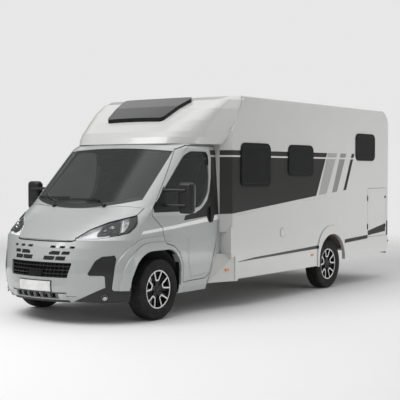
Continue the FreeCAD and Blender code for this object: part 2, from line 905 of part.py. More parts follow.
# door mirror: a corner plate in the window, two arms and the housing
base_plate = cab_walls.common(glass_plug).common(
    slab((0, 0, 0), (wide_half, d.mirror_base_rear, d.cab_roof_height)))
mirror_arm_shares = (0.15, 0.61)
mirror_low = d.mirror_centre_height - d.mirror_height / 2
arms = []
for height in [mirror_low + d.mirror_height * share for share in mirror_arm_shares]:
    arm_foot = at(cab_half * mirror_foot_share, d.mirror_base_rear - d.mirror_arm / 2, height)
    arm_head = at(d.mirror_centre_side, d.mirror_station - d.mirror_depth / 2, height)
    arm = Part.makeCylinder(d.mirror_arm / 2, arm_foot.distanceToPoint(arm_head),
                            arm_foot, arm_head - arm_foot)
    arms.append(arm.cut(slab((0, d.mirror_base_rear, 0),
                             (cab_half, d.cab_rear, d.cab_roof_height))))
mirror_side = d.mirror_centre_side - d.mirror_width / 2
housing_outline = ((d.mirror_station - d.mirror_depth, mirror_low), (d.mirror_station, mirror_low),
                   (d.mirror_station, mirror_low + d.mirror_height),
                   (d.mirror_station - d.mirror_depth, mirror_low + d.mirror_height))
back_radius = d.mirror_depth * d.mirror_back_share
rim_radius = d.mirror_depth * d.mirror_rim_share
housing_radii = (back_radius, rim_radius, rim_radius, back_radius)
housing = side_prism(housing_outline, housing_radii, mirror_side, mirror_side + d.mirror_width)
mirror = housing.fuse([base_plate] + arms)
feature("door_mirror_left", mirror)
feature("door_mirror_right", mirrored(mirror))

# grille, lower intake: a frame with bars, seated in the bumper's openings
nose_back = cab_fine_hollow(d.grille_depth * d.nose_skin_share)
grille_layer = cab_fine_hollow(d.grille_depth / 2).cut(nose_back)
grille_bars = []
bar_gaps = 9
row_gaps = 4
grille_rise = d.grille_top - d.grille_bottom
for count in range(1, bar_gaps * 2):
    side = -d.grille_top_width / 2 + count * d.grille_top_width / (bar_gaps * 2)
    grille_bars.append(slab((side - d.grille_bar / 4, -d.overrun, d.grille_bottom),
                            (side + d.grille_bar / 4, d.bumper_rear, d.grille_top)))
for count in range(1, row_gaps):
    height = d.grille_bottom + count * grille_rise / row_gaps
    grille_bars.append(slab((-d.grille_top_width / 2, -d.overrun, height - d.grille_bar / 2),
                            (d.grille_top_width / 2, d.bumper_rear, height + d.grille_bar / 2)))
grille_frame = grille_prism(-d.seam).cut(grille_prism(-d.grille_bar))
grille_solid = grille_frame.fuse([bar_shape.common(grille_prism(-d.grille_bar / 2))
                                  for bar_shape in grille_bars])
slot_backs = cab_fine_hollow(d.grille_depth).cut(nose_back).common(
    Part.makeCompound(slot_openings(-d.seam)))
feature("front_grille", Part.makeCompound(grille_layer.common(grille_solid).Solids
                                          + slot_backs.Solids))
intake_slots = []
slot_count = 8
slot_pitch = d.intake_bottom_width * d.slots_width_share / slot_count
for count in range(slot_count):
    side = (count - (slot_count - 1) / 2) * slot_pitch
    intake_slots.append(slab((side - slot_pitch * d.slot_width_share, -d.overrun * 2, d.intake_bottom
                              + d.grille_bar), (side + slot_pitch * d.slot_width_share, d.bumper_rear,
                              d.intake_top - d.grille_bar)))
intake_layer = cab_outer.cut(nose_back)
feature("lower_intake", cut_all(intake_layer.common(intake_prism(-d.seam)), intake_slots))

# floor, firewall, scuttle shelf and wheel housings of the cab
floor_low = d.cab_floor_top - d.cab_floor_thickness
cab_inside = cab_hollow(d.cab_wall + d.seam, d.cab_roof_thickness)
cab_floor = slab((-cab_half, d.firewall_station, floor_low),
                 (cab_half, d.cab_rear - d.seam, d.cab_floor_top))
firewall = slab((-cab_half, d.firewall_station, floor_low),
                (cab_half, d.firewall_station + d.firewall_thickness, d.firewall_top))
shelf = slab((-cab_half, d.bonnet_rear_middle, d.shelf_top - d.firewall_thickness),
             (cab_half, d.firewall_station + d.firewall_thickness, d.shelf_top))
liner_side = cab_half - d.cab_wall - d.seam
liners = []
for side_low, side_high in ((d.liner_inner_side, liner_side), (-liner_side, -d.liner_inner_side)):
    tube = round_x(d.liner_radius + d.liner_wall, side_low, side_high, front_axle, wheel_radius)
    liners.append(tube.cut(round_x(d.liner_radius, side_low - d.overrun, side_high + d.overrun,
                                   front_axle, wheel_radius)))
low_half = slab((-wide_half, 0, 0), (wide_half, d.cab_rear, wheel_radius + d.mirror_depth))
liners = [tube.cut(low_half) for tube in liners]
housing_voids = [round_x(d.liner_radius, side_low, side_high, front_axle, wheel_radius)
                 for side_low, side_high in ((d.liner_inner_side, wide_half),
                                             (-wide_half, -d.liner_inner_side))]
cab_floor = cut_all(cab_floor.fuse([firewall, shelf]), housing_voids).fuse(liners)
feature("cab_floor", cab_floor.common(cab_inside))

# dashboard, steering wheel and the two seats
dash_front = d.firewall_station + d.firewall_thickness
dash_outline = ((dash_front, d.dash_top - d.dash_height), (dash_front, d.dash_top),
                (dash_front + d.dash_depth * 0.55, d.dash_top),
                (dash_front + d.dash_depth, d.dash_top - d.dash_height * d.dash_belly_share),
                (dash_front + d.dash_depth * 0.8, d.dash_top - d.dash_height))
dash_radii = (0, d.dash_height * d.dash_edge_share, d.dash_height * d.dash_front_share,
              d.dash_height * d.dash_top_share,
              d.dash_height * d.dash_edge_share)
dash_half = cab_half - d.cab_wall * 2
dash = side_prism(dash_outline, dash_radii, -dash_half, dash_half)
feature("dashboard", dash.common(cab_inside))
wheel_side = d.seat_track / 2
wheel_tilt = Vector(0, 1, 1.4)
wheel_tilt.normalize()
ring_centre = at(wheel_side, dash_front + d.dash_depth + d.wheel_ring_diameter * d.ring_reach_share,
                 d.dash_top + d.wheel_ring_thickness)
ring_start = ring_centre + Vector(d.wheel_ring_diameter / 2, 0, 0)
ring_section = [ring_start + (Vector(1, 0, 0) * math.cos(turn) + wheel_tilt * math.sin(turn))
                * (d.wheel_ring_thickness / 2)
                for turn in [math.radians(90 * step + 45) for step in range(4)]]
ring = Part.Face(Part.makePolygon(ring_section + ring_section[:1])).revolve(
    ring_centre, wheel_tilt, 360)
column = Part.makeCylinder(d.wheel_ring_thickness, d.wheel_ring_diameter,
                           ring_centre, wheel_tilt * -1)
column = cut_all(column, [dash, dash.translated(Vector(0, d.seam * 2, d.seam * 2))])
column = sorted(column.Solids, key=lambda piece: piece.CenterOfMass.z)[-1]
spoke_bar = Part.makeCylinder(d.wheel_ring_thickness / 3, d.wheel_ring_diameter,
                              ring_centre - Vector(d.wheel_ring_diameter / 2, 0, 0),
                              Vector(1, 0, 0))
feature("steering_wheel", ring.fuse([column, spoke_bar]))
seats = []
seat_front = d.seat_station - d.seat_depth / 2
seat_rear = d.seat_station + d.seat_depth / 2
cushion_top = d.seat_cushion_bottom + d.seat_cushion
back_top = cushion_top + d.seat_back_height
head_top = back_top + d.seat_back_thickness * d.head_gap_share


def plate_between(front, rear, bottom, top, radius, width, side):
    outline = ((front, bottom), (rear, bottom), (rear, top), (front, top))
    return side_prism(outline, radius, side - width / 2, side + width / 2)


for side in (wheel_side, -wheel_side):
    pedestal_inset = d.seat_depth * d.pedestal_inset_share
    pedestal = plate_between(seat_front + pedestal_inset, seat_rear - pedestal_inset,
                             d.cab_floor_top, cushion_top - d.seat_cushion / 2, 0,
                             d.seat_width * d.pedestal_width_share, side)
    cushion = plate_between(seat_front, seat_rear, d.seat_cushion_bottom, cushion_top,
                            d.seat_cushion * d.cushion_round_share, d.seat_width, side)
    back = plate_between(seat_rear - d.seat_back_thickness, seat_rear,
                         d.seat_cushion_bottom + d.seat_cushion / 2, back_top,
                         d.seat_back_thickness * d.back_round_share, d.seat_width, side)
    head = plate_between(seat_rear - d.seat_back_thickness * d.head_depth_share, seat_rear,
                         back_top - d.seat_back_thickness / 4, head_top,
                         d.seat_back_thickness * d.head_round_share, d.seat_width / 2, side)
    seats.append(pedestal.fuse([cushion, back, head]))
feature("cab_seats", Part.makeCompound(seats))

# overcab cap: a lofted hood with a floor ring, a skylight and an open rear
cap_outer = Part.makeLoft([cap_outline(shares, 0, 0) for shares in cap_level_shares], True, True)
cap_rows = [cap_outline(cap_level_shares[0], d.cap_wall, d.cap_wall)]
cap_rows += [cap_outline(shares, d.cap_wall, -d.cap_wall * (shares[0] == 1))
             for shares in cap_level_shares[1:]]
cap_inner = flat_form(cap_rows)
cap = cap_outer.cut(cap_inner)
behind_cap = side_prism(((d.cab_rear - d.seam, d.cab_roof_height - d.overrun),
                         (d.cab_rear - d.seam, d.wall_knee_height),
                         (d.roof_front - d.seam, d.wall_top + d.seam),
                         (d.roof_front - d.seam, d.cap_top + d.overrun),
                         (d.cap_rear + d.total_length, d.cap_top + d.overrun),
                         (d.cap_rear + d.total_length, d.cab_roof_height - d.overrun)), 0,
                        -side_plane - d.overrun, side_plane + d.overrun)


def skylight_prism(gap):
    front, rear = d.skylight_front_width / 2 + gap, d.skylight_rear_width / 2 + gap
    points = [at(-front, d.skylight_front - gap, d.cab_roof_height + d.overrun),
              at(front, d.skylight_front - gap, d.cab_roof_height + d.overrun),
              at(rear, d.skylight_rear + gap, d.cab_roof_height + d.overrun),
              at(-rear, d.skylight_rear + gap, d.cab_roof_height + d.overrun)]
    return prism(rounded(points, d.window_corner), Vector(0, 0, d.total_length))


feature("overcab_cap", cut_all(cap, [behind_cap, skylight_prism(0), roof_opening]))
raised = cap_outer.translated(Vector(0, -d.skylight_proud / 2, d.skylight_proud))
feature("cab_skylight", raised.cut(cap_inner).common(skylight_prism(-d.seam)))

# living body: floor, walls, roof and rear wall
inner_side = side_plane - d.wall_thickness
wall_rear = d.rear_plane - d.roof_thickness
wall_corner = d.rear_corner_radius - d.roof_thickness
wall_outline = ((d.cab_rear, d.wall_bottom), (d.cab_rear, d.wall_knee_height),
                (d.roof_front, d.wall_top), (wall_rear, d.wall_top), (wall_rear, d.wall_bottom))
wall_radii = (0, 0, 0, wall_corner, 0)
wall = side_prism(wall_outline, wall_radii, inner_side, side_plane)
windows = {"one": (d.window_one_front, d.window_one_rear, d.window_one_bottom, d.window_one_top),
           "two": (d.window_two_front, d.window_two_rear, d.window_two_bottom, d.window_two_top),
           "three": (d.window_three_front, d.window_three_rear, d.window_three_bottom,
                     d.window_three_top)}


def frame_prism(front, rear, bottom, top, trim, corner, low, high):
    outline = ((front + trim, bottom + trim), (rear - trim, bottom + trim),
               (rear - trim, top - trim), (front + trim, top - trim))
    return side_prism(outline, corner, low, high)


def window_hole(name, gap):
    return frame_prism(*windows[name], d.window_frame + gap, d.window_corner - d.window_frame,
                       inner_side - d.seam, side_plane + d.seam)


def window_pane(name):
    plug = frame_prism(*windows[name], d.window_frame + d.seam, d.window_corner - d.window_frame,
                       inner_side, side_plane)
    pane = frame_prism(*windows[name], 0, d.window_corner, side_plane,
                       side_plane + d.window_proud)
    return pane.fuse(plug)


def hinge_pair(axis_station, heights):
    """Hinges on the left wall's face: lugs with a pin, and the sleeve with its leaf."""
    axis_side = side_plane + d.hinge_out
    lugs, sleeves = [], []
    for height in heights:
        low, high = height - d.hinge_height / 2, height + d.hinge_height / 2
        sleeve_low, sleeve_high = height - d.sleeve_height / 2, height + d.sleeve_height / 2
        for bottom, top in ((low, sleeve_low - d.hinge_gap), (sleeve_high + d.hinge_gap, high)):
            lugs.append(slab((side_plane, axis_station - d.hinge_leaf, bottom),
                             (axis_side, axis_station, top)))
        lugs.append(Part.makeCylinder(d.hinge_pin / 2, d.hinge_height,
                                      at(axis_side, axis_station, low)))
        leaf = slab((side_plane, axis_station + d.hinge_gap, sleeve_low),
                    (axis_side, axis_station + d.hinge_leaf, sleeve_high))
        sleeve = Part.makeCylinder(d.hinge_sleeve / 2, d.sleeve_height,
                                   at(axis_side, axis_station, sleeve_low))
        bore = Part.makeCylinder(d.hinge_pin / 2 + d.bore_clearance, d.sleeve_height,
                                 at(axis_side, axis_station, sleeve_low))
        sleeves.append(leaf.fuse(sleeve).cut(bore))
    return lugs, sleeves


garage = (d.garage_front, d.garage_rear, d.garage_bottom, d.garage_top)
entry = (d.entry_front, d.entry_front + d.entry_width, d.entry_bottom, d.entry_top)
garage_hole = frame_prism(*garage, 0, d.garage_corner, inner_side - d.seam, side_plane + d.seam)
garage_door = frame_prism(*garage, d.door_gap / 2, d.garage_corner, inner_side, side_plane)
entry_hole = frame_prism(*entry, 0, d.entry_corner, inner_side - d.seam, side_plane + d.seam)
entry_door = frame_prism(*entry, d.door_gap / 2, d.entry_corner, inner_side, side_plane)
entry_middle = d.entry_front + d.entry_width / 2
entry_pane_top = d.entry_top - d.entry_window_top_inset
windows["entry"] = (entry_middle - d.entry_window_width / 2,
                    entry_middle + d.entry_window_width / 2,
                    entry_pane_top - d.entry_window_height, entry_pane_top)
rear_arch = arch_prism(rear_axle, d.rear_arch_half_width, d.rear_arch_top,
                       rear_arch_radii, inner_side - d.overrun, side_plane + d.overrun)
left_windows = ("one", "two", "three")
garage_hinge_shares = (0.227, 0.784)
entry_hinge_shares = (0.15, 0.5, 0.85)
right_windows = ("two", "three")
garage_rise = d.garage_top - d.garage_bottom
garage_lugs, garage_sleeves = hinge_pair(
    d.garage_front, [d.garage_bottom + garage_rise * share for share in garage_hinge_shares])
entry_rise = d.entry_top - d.entry_bottom
entry_lugs, entry_sleeves = hinge_pair(
    d.entry_front, [d.entry_bottom + entry_rise * share for share in entry_hinge_shares])
feature("side_wall_left", cut_all(wall, [window_hole(name, 0) for name in left_windows]
                                  + [garage_hole, rear_arch]).fuse(garage_lugs))
feature("side_wall_right", mirrored(cut_all(
    wall, [window_hole(name, 0) for name in right_windows] + [garage_hole, entry_hole,
                                                              rear_arch])
    .fuse(garage_lugs + entry_lugs)))
feature("side_windows", Part.makeCompound([window_pane(name) for name in left_windows]
                                          + [mirrored(window_pane(name))
                                             for name in right_windows]))
garage_door = garage_door.fuse(garage_sleeves)
feature("garage_door_left", garage_door)
feature("garage_door_right", mirrored(garage_door))
feature("entrance_door", mirrored(entry_door.cut(window_hole("entry", 0)).fuse(entry_sleeves)))
feature("entrance_window", mirrored(window_pane("entry")))
roof = slab((-side_plane, d.roof_front, d.wall_top),
            (side_plane, d.rear_plane - d.rear_corner_radius - d.seam,
             d.wall_top + d.roof_thickness))
long_edges = [edge for edge in roof.Edges if abs(edge.tangentAt(0).y) > 0.9
              and edge.CenterOfMass.z > d.wall_top + d.roof_thickness / 2]
feature("roof_panel", roof.makeFillet(d.roof_thickness * d.roof_round_share, long_edges))
roof_top = d.wall_top + d.roof_thickness
bend = d.rear_plane - d.rear_corner_radius
half_turn = math.sqrt(0.5)
rear_wire = Part.Wire([
    Part.Arc(at(-side_plane, bend, roof_top),
             at(-side_plane, bend + d.rear_corner_radius * half_turn,
                roof_top - d.rear_corner_radius * (1 - half_turn)),
             at(-side_plane, d.rear_plane, roof_top - d.rear_corner_radius)).toShape(),
    Part.makeLine(at(-side_plane, d.rear_plane, roof_top - d.rear_corner_radius),
                  at(-side_plane, d.rear_plane, d.wall_bottom)),
    Part.makeLine(at(-side_plane, d.rear_plane, d.wall_bottom),
                  at(-side_plane, wall_rear, d.wall_bottom)),
    Part.makeLine(at(-side_plane, wall_rear, d.wall_bottom),
                  at(-side_plane, wall_rear, roof_top - d.rear_corner_radius)),
    Part.Arc(at(-side_plane, wall_rear, roof_top - d.rear_corner_radius),
             at(-side_plane, bend + wall_corner * half_turn,
                d.wall_top - wall_corner * (1 - half_turn)),
             at(-side_plane, bend, d.wall_top)).toShape(),
    Part.makeLine(at(-side_plane, bend, d.wall_top), at(-side_plane, bend, roof_top))])
feature("rear_wall", prism(rear_wire, Vector(d.body_width, 0, 0)))
lights = []
for station in (d.roof_light_front, d.roof_light_rear):
    light = slab((d.roof_light_side - d.roof_light_size / 2, station - d.roof_light_size / 2,
                  roof_top),
                 (d.roof_light_side + d.roof_light_size / 2, station + d.roof_light_size / 2,
                  roof_top + d.roof_light_height))
    top_edges = [edge for edge in light.Edges if edge.CenterOfMass.z
                 > roof_top + d.roof_light_height * d.light_edge_share]
    lights.append(light.makeChamfer(d.roof_light_height * d.light_bevel_share, top_edges))
feature("roof_vents", Part.makeCompound(lights))
floor_half = inner_side - d.seam
floor_panel = slab((-floor_half, d.cab_rear, d.floor_bottom),
                   (floor_half, wall_rear - d.seam, d.floor_bottom + d.floor_thickness))
rear_voids = [round_x(d.rear_liner_radius, low, high, rear_axle, wheel_radius)
              for low, high in ((d.rear_liner_inner_side, side_plane),
                                (-side_plane, -d.rear_liner_inner_side))]
rear_liners = []
for low, high in ((d.rear_liner_inner_side, floor_half), (-floor_half, -d.rear_liner_inner_side)):
    tube = round_x(d.rear_liner_radius + d.liner_wall, low, high, rear_axle, wheel_radius)
    tube = tube.cut(round_x(d.rear_liner_radius, low - d.overrun, high + d.overrun, rear_axle,
                            wheel_radius))
    cheek_low = low if low > 0 else high - d.liner_wall
    cheek = round_x(d.rear_liner_radius, cheek_low, cheek_low + d.liner_wall, rear_axle,
                    wheel_radius)
    shell_half = tube.fuse(cheek).common(slab(
        (low - d.overrun, d.cab_rear, d.floor_bottom),
        (high + d.overrun, wall_rear, d.floor_bottom + d.rear_liner_radius)))
    rear_liners.append(shell_half)
feature("living_floor", cut_all(floor_panel, rear_voids).fuse(rear_liners))

# fairings between the cab's flanks and the wider body
fairing_plan = [at(cab_half * d.panel_reach_share, d.fairing_front, d.fairing_bottom),
                at(cab_half * d.fairing_flare_share, d.fairing_front - d.door_gap / 2, d.fairing_bottom),
                at(side_plane, d.cab_rear - d.seam * 2, d.fairing_bottom),
                at(cab_half * d.panel_reach_share, d.cab_rear - d.seam * 2, d.fairing_bottom)]
fairing = prism(rounded(fairing_plan, (0, d.door_gap, 0, 0)),
                Vector(0, 0, d.fairing_top - d.fairing_bottom))
return_panel = slab((cab_half * d.panel_reach_share, d.cab_rear - d.wall_thickness,
                     d.skirt_nose_top + d.seam * 2),
                    (side_plane, d.cab_rear - d.seam * 2, d.fairing_bottom + d.overrun))
fairing = cut_all(fairing.fuse(return_panel), [cab_outer, cap_outer.translated(
    Vector(0, 0, -d.seam))])
feature("side_fairings", Part.makeCompound(both(fairing)))

# skirts with wheel arch lips and the nose that runs in to the cab
skirt_high = side_plane + d.skirt_proud
skirt = slab((inner_side, d.cab_rear + d.overrun, d.skirt_bottom),
             (skirt_high, d.rear_plane - d.rear_bumper_depth, d.wall_bottom - d.seam))
lip_out = arch_wire(side_plane + d.seam, rear_axle, d.rear_arch_half_width + d.lip_width,
                    d.rear_arch_top + d.lip_rise, rear_arch_radii, d.skirt_bottom
                    - d.door_gap)
lip = prism(lip_out, Vector(d.lip_proud, 0, 0))
nose_rear = d.cab_rear + d.overrun * 2
nose_rings = []
for height, front in ((d.skirt_front_bottom, d.skirt_nose_station),
                      (d.skirt_nose_top, d.skirt_nose_station + d.skirt_nose_lean)):
    nose_rings.append([at(cab_half - d.skirt_thickness, front, height),
                       at(cab_half + d.seam * 2, front, height),
                       at(skirt_high, nose_rear - d.skirt_thickness, height),
                       at(skirt_high, nose_rear, height), at(inner_side, nose_rear, height)])
nose = cut_all(flat_form(nose_rings), [
    slab((0, d.cab_rear - d.seam, d.wall_bottom - d.seam),
         (side_plane + d.overrun, d.total_length, d.skirt_nose_top + d.overrun)),
    slab((0, d.cab_rear - d.seam, d.floor_bottom - d.seam),
         (inner_side, d.total_length, d.skirt_nose_top + d.overrun))])
skirt = skirt.fuse([lip, nose]).cut(arch_prism(rear_axle, d.rear_arch_half_width,
                                               d.rear_arch_top, rear_arch_radii,
                                               inner_side - d.overrun,
                                               skirt_high + d.overrun))
skirt = skirt.cut(side_prism([(rear_axle, 0), (d.total_length, 0),
                              (d.total_length, d.skirt_rear_high), (rear_axle, d.skirt_rear_low)],
                             0, 0, side_plane + d.overrun * 3))
feature("body_skirts", Part.makeCompound(both(skirt)))

# rear bumper with its lamps, and two marker lamps high on the rear wall
bumper_low = d.rear_bumper_bottom
bumper_high = d.wall_bottom - d.seam
bumper_front = d.rear_plane - d.rear_bumper_depth + d.seam
bumper_back = slab((-skirt_high, bumper_front, bumper_low),
                   (skirt_high, d.total_length, bumper_high))
upright = [edge for edge in bumper_back.Edges if abs(edge.tangentAt(0).z) > 0.9
           and edge.CenterOfMass.y > d.rear_plane - half_length]
bumper_back = bumper_back.makeFillet(d.skirt_thickness, upright)
bumper_back = bumper_back.cut(slab(
    (-skirt_high + d.skirt_thickness, bumper_front - d.overrun, bumper_low - d.overrun),
    (skirt_high - d.skirt_thickness, d.total_length - d.lip_width, bumper_high + d.overrun)))
lamp_side = side_plane - d.lamp_inset


def lamp_slab(gap):
    return slab((lamp_side - d.lamp_width / 2 - gap, d.total_length - d.lip_width - d.seam,
                 d.lamp_bottom - gap),
                (lamp_side + d.lamp_width / 2 + gap, d.total_length,
                 d.lamp_bottom + d.lamp_height + gap))


marker = slab((lamp_side - d.marker_width / 2, d.rear_plane, d.marker_bottom),
              (lamp_side + d.marker_width / 2, d.rear_plane + d.marker_depth,
               d.marker_bottom + d.marker_height))
feature("rear_bumper", cut_all(bumper_back, both(lamp_slab(d.seam))))
feature("rear_lamps", Part.makeCompound(both(lamp_slab(0)) + both(marker)))


# chassis: two channel rails, crossmembers, spring hangers and the drilled tow member
def rail(sign, name):
    length = "rail_rear-rail_front"
    outer = box(name + "_outer", ("rail_width", length, "rail_height"),
                (f"{sign}*rail_track/2-rail_width/2", "rail_front-total_length/2",
                 "rail_top-rail_height"))
    hollow = box(name + "_hollow", ("rail_width", length, "rail_height-2*rail_wall"),
                 (f"{sign}*(rail_track/2-rail_wall)-rail_width/2",
                  "rail_front-total_length/2", "rail_top-rail_height+rail_wall"))
    return cut(name, outer, hollow)


member_width = "rail_track+rail_width-rail_wall"
members = [rail(1, "rail_left"), rail(-1, "rail_right")]
for station in ("rail_front+crossmember_size/2", "crossmember_one", "crossmember_two",
                "crossmember_three", "crossmember_four"):
    members.append(box("crossmember", (member_width, "crossmember_size", "crossmember_size"),
                       (f"-({member_width})/2",
                        f"{station}-crossmember_size/2-total_length/2",
                        "rail_top-rail_height/2-crossmember_size/2")))
tow_member = box("tow_member", (member_width, "tow_member_depth", "tow_member_height"),
                 (f"-({member_width})/2", "rail_rear-tow_member_depth-total_length/2",
                  "rail_top-rail_height"))
tow_holes = [bar("tow_hole", "tow_hole_diameter/2", "tow_member_height",
                 (f"{across_sign}*tow_hole_spacing_across/2",
                  "rail_rear-tow_member_depth/2-total_length/2"
                  f"+{along_sign}*tow_hole_spacing_up/2", "rail_top-rail_height"),
                 Vector(0, 0, 1))
             for across_sign in (1, -1) for along_sign in (1, -1)]
members.append(cut("drilled_member", tow_member, join("tow_holes", tow_holes)))
axle_station = "front_overhang+wheelbase-total_length/2"
beam_top = "tyre_diameter/2+axle_beam_diameter/2"
for side_sign in (1, -1):
    for end_sign in (1, -1):
        members.append(box("spring_hanger", (
            "spring_track/2+spring_width/2-rail_track/2-rail_width/2+rail_wall/2",
            "hanger_width",
            f"rail_top-({beam_top}+spring_rise+spring_thickness)-seam"),
            (("rail_track/2+rail_width/2-rail_wall/2" if side_sign > 0 else
              "-(spring_track/2+spring_width/2)"),
             f"{axle_station}+{end_sign}*spring_half_length-hanger_width/2",
             f"{beam_top}+spring_rise+spring_thickness+seam")))
node("chassis_frame", join("chassis", members))

# the engine: one plain block on a bar that rests in the rails
block = box("block", ("engine_width", "engine_length", "engine_height"),
            ("-engine_width/2", "engine_front-total_length/2", "engine_bottom"))
mount_span = "rail_track+rail_width-2*rail_wall-2*seam"
engine_bar = box("engine_bar", (mount_span, "crossmember_size", "crossmember_size"),
                 (f"-({mount_span})/2", "engine_front+engine_length/2-total_length/2",
                  "rail_top-rail_height/2-crossmember_size/2"))
node("engine_block", join("engine", [block, engine_bar]))

# front subframe with arms that carry the kingpins
front_y = "front_overhang-total_length/2"
kingpin_x = "front_track/2-kingpin_offset"
arm_low = "tyre_diameter/2-knuckle_height/2-running_gap-arm_thickness"
pieces = [box("subframe", ("2*subframe_half_span", "subframe_width", "subframe_height"),
              ("-subframe_half_span", f"{front_y}-subframe_width/2",
               "subframe_height_above_ground"))]
for sign in (1, -1):
    pieces.append(box("post", ("rail_width", "arm_width",
                               "rail_top-rail_height-subframe_height_above_ground-seam"),
                      (f"{sign}*rail_track/2-rail_width/2", f"{front_y}-arm_width/2",
                       "subframe_height_above_ground")))
    pieces.append(box("arm", (f"{kingpin_x}+knuckle_width/2-rail_track/2", "arm_width",
                              "arm_thickness"),
                      ("rail_track/2" if sign > 0 else f"-({kingpin_x}+knuckle_width/2)",
                       f"{front_y}-arm_width/2", arm_low)))
    pieces.append(bar("kingpin", "kingpin_diameter/2", "kingpin_length+arm_thickness",
                      (f"{sign}*({kingpin_x})", front_y, arm_low), Vector(0, 0, 1)))
node("front_suspension", join("suspension", pieces))

# knuckles: a block on the kingpin with the wheel's stub
for sign, label in ((1, "knuckle_left"), (-1, "knuckle_right")):
    body = box("knuckle_block", ("knuckle_width", "knuckle_depth", "knuckle_height"),
               (f"{sign}*({kingpin_x})-knuckle_width/2", f"{front_y}-knuckle_depth/2",
                "tyre_diameter/2-knuckle_height/2"))
    stub = bar("stub", "hub_bore/2",
               "kingpin_offset+hub_inset+hub_depth-hub_cap-running_gap",
               (f"{sign}*({kingpin_x})", front_y, "tyre_diameter/2"), Vector(sign, 0, 0))
    bore = bar("kingpin_bore", "kingpin_diameter/2+bore_clearance", "kingpin_length",
               (f"{sign}*({kingpin_x})", front_y, "tyre_diameter/2-knuckle_height/2"),
               Vector(0, 0, 1))
    node(label, cut(label, join("knuckle", [body, stub]), bore))

# rear axle beam with flanges and stubs, on two leaf springs
beam_half = "rear_track/2+hub_inset-running_gap"
pieces = [bar("beam", "axle_beam_diameter/2", f"2*({beam_half})",
              (f"-({beam_half})", axle_station, "tyre_diameter/2"), Vector(1, 0, 0)),
          bar("rear_stubs", "hub_bore/2",
              "rear_track+2*(hub_inset+hub_depth-hub_cap-running_gap)",
              ("-(rear_track/2+hub_inset+hub_depth-hub_cap-running_gap)", axle_station,
               "tyre_diameter/2"), Vector(1, 0, 0))]
for sign in (1, -1):
    pieces.append(bar("flange", "axle_flange_diameter/2", "axle_flange_thickness",
                      (f"{beam_half}-axle_flange_thickness" if sign > 0
                       else f"-({beam_half})", axle_station, "tyre_diameter/2"),
                      Vector(1, 0, 0)))
node("rear_axle", join("rear_axle", pieces))
spring_foot = wheel_radius + d.axle_beam_diameter / 2 + d.seam
spring_tip = spring_foot + d.spring_rise
spring_wire = ((rear_axle - d.spring_half_length, spring_tip),
               (rear_axle - d.hanger_width, spring_foot), (rear_axle + d.hanger_width, spring_foot),
               (rear_axle + d.spring_half_length, spring_tip),
               (rear_axle + d.spring_half_length, spring_tip + d.spring_thickness - d.seam),
               (rear_axle + d.hanger_width, spring_foot + d.spring_thickness),
               (rear_axle - d.hanger_width, spring_foot + d.spring_thickness),
               (rear_axle - d.spring_half_length, spring_tip + d.spring_thickness - d.seam))
spring = side_prism(spring_wire, 0, d.spring_track / 2 - d.spring_width / 2,
                    d.spring_track / 2 + d.spring_width / 2)
feature("leaf_springs", Part.makeCompound(both(spring)))

# tanks under the floor, and the exhaust line hung from two crossmembers
tank_top = "floor_bottom-seam-tank_height"
tank_corners = (("fuel_tank", "tank_inner_side", "fuel_tank_front-total_length/2"),
                ("waste_tank", "-tank_inner_side-tank_width",
                 "waste_tank_front-total_length/2"))
tanks = [box(name, ("tank_width", "tank_length", "tank_height"), (side, station, tank_top))
         for name, side, station in tank_corners]
tank_pair = doc.addObject("Part::Compound", "tanks")
tank_pair.Links = tanks
node("under_floor_tanks", tank_pair)
pipe_front = "engine_front+engine_length+seam"
line = [bar("pipe", "exhaust_diameter/2", f"exhaust_rear-({pipe_front})",
            ("-exhaust_side", f"{pipe_front}-total_length/2", "exhaust_height"),
            Vector(0, 1, 0)),
        bar("silencer", "silencer_diameter/2", "silencer_length",
            ("-exhaust_side", "silencer_front-total_length/2", "exhaust_height"),
            Vector(0, 1, 0))]
hanger_rise = "rail_top-rail_height/2-crossmember_size/2-seam-exhaust_height"
for station in ("crossmember_one", "crossmember_three"):
    line.append(box("hanger", ("hanger_width/2", "hanger_width/2", hanger_rise),
                    ("-exhaust_side-hanger_width/4", f"{station}-hanger_width/4-total_length/2",
                     "exhaust_height")))
node("exhaust_line", join("exhaust", line))


# wheels: a tyre of straight bands, a rim with a lip, a hub and five double spokes
def turned(profile, middle, station, sign):
    """A ring round an axle: pairs of distance from the wheel's middle and radius."""
    points = [at(middle + sign * run, station, wheel_radius + radius)
              for run, radius in profile]
    face = Part.Face(Part.makePolygon(points + points[:1]))
    return face.revolve(at(0, station, wheel_radius), Vector(1, 0, 0), 360)


bead_radius = d.flange_diameter / 2 - d.rim_lip
bead_half = d.rim_width / 2
tyre_half = d.tyre_width / 2
shoulder = tyre_half - d.tread_width / 2
tyre_profile = [(-tyre_half, bead_radius), (tyre_half, bead_radius),
                (tyre_half, wheel_radius - shoulder), (tyre_half - shoulder, wheel_radius),
                (-tyre_half, wheel_radius)]
rim_outer = bead_radius - d.seam
rim_profile = [(-bead_half, rim_outer - d.rim_wall), (-bead_half, rim_outer),
               (bead_half, rim_outer), (bead_half, rim_outer - d.rim_wall)]
hub_radius = d.hub_diameter / 2


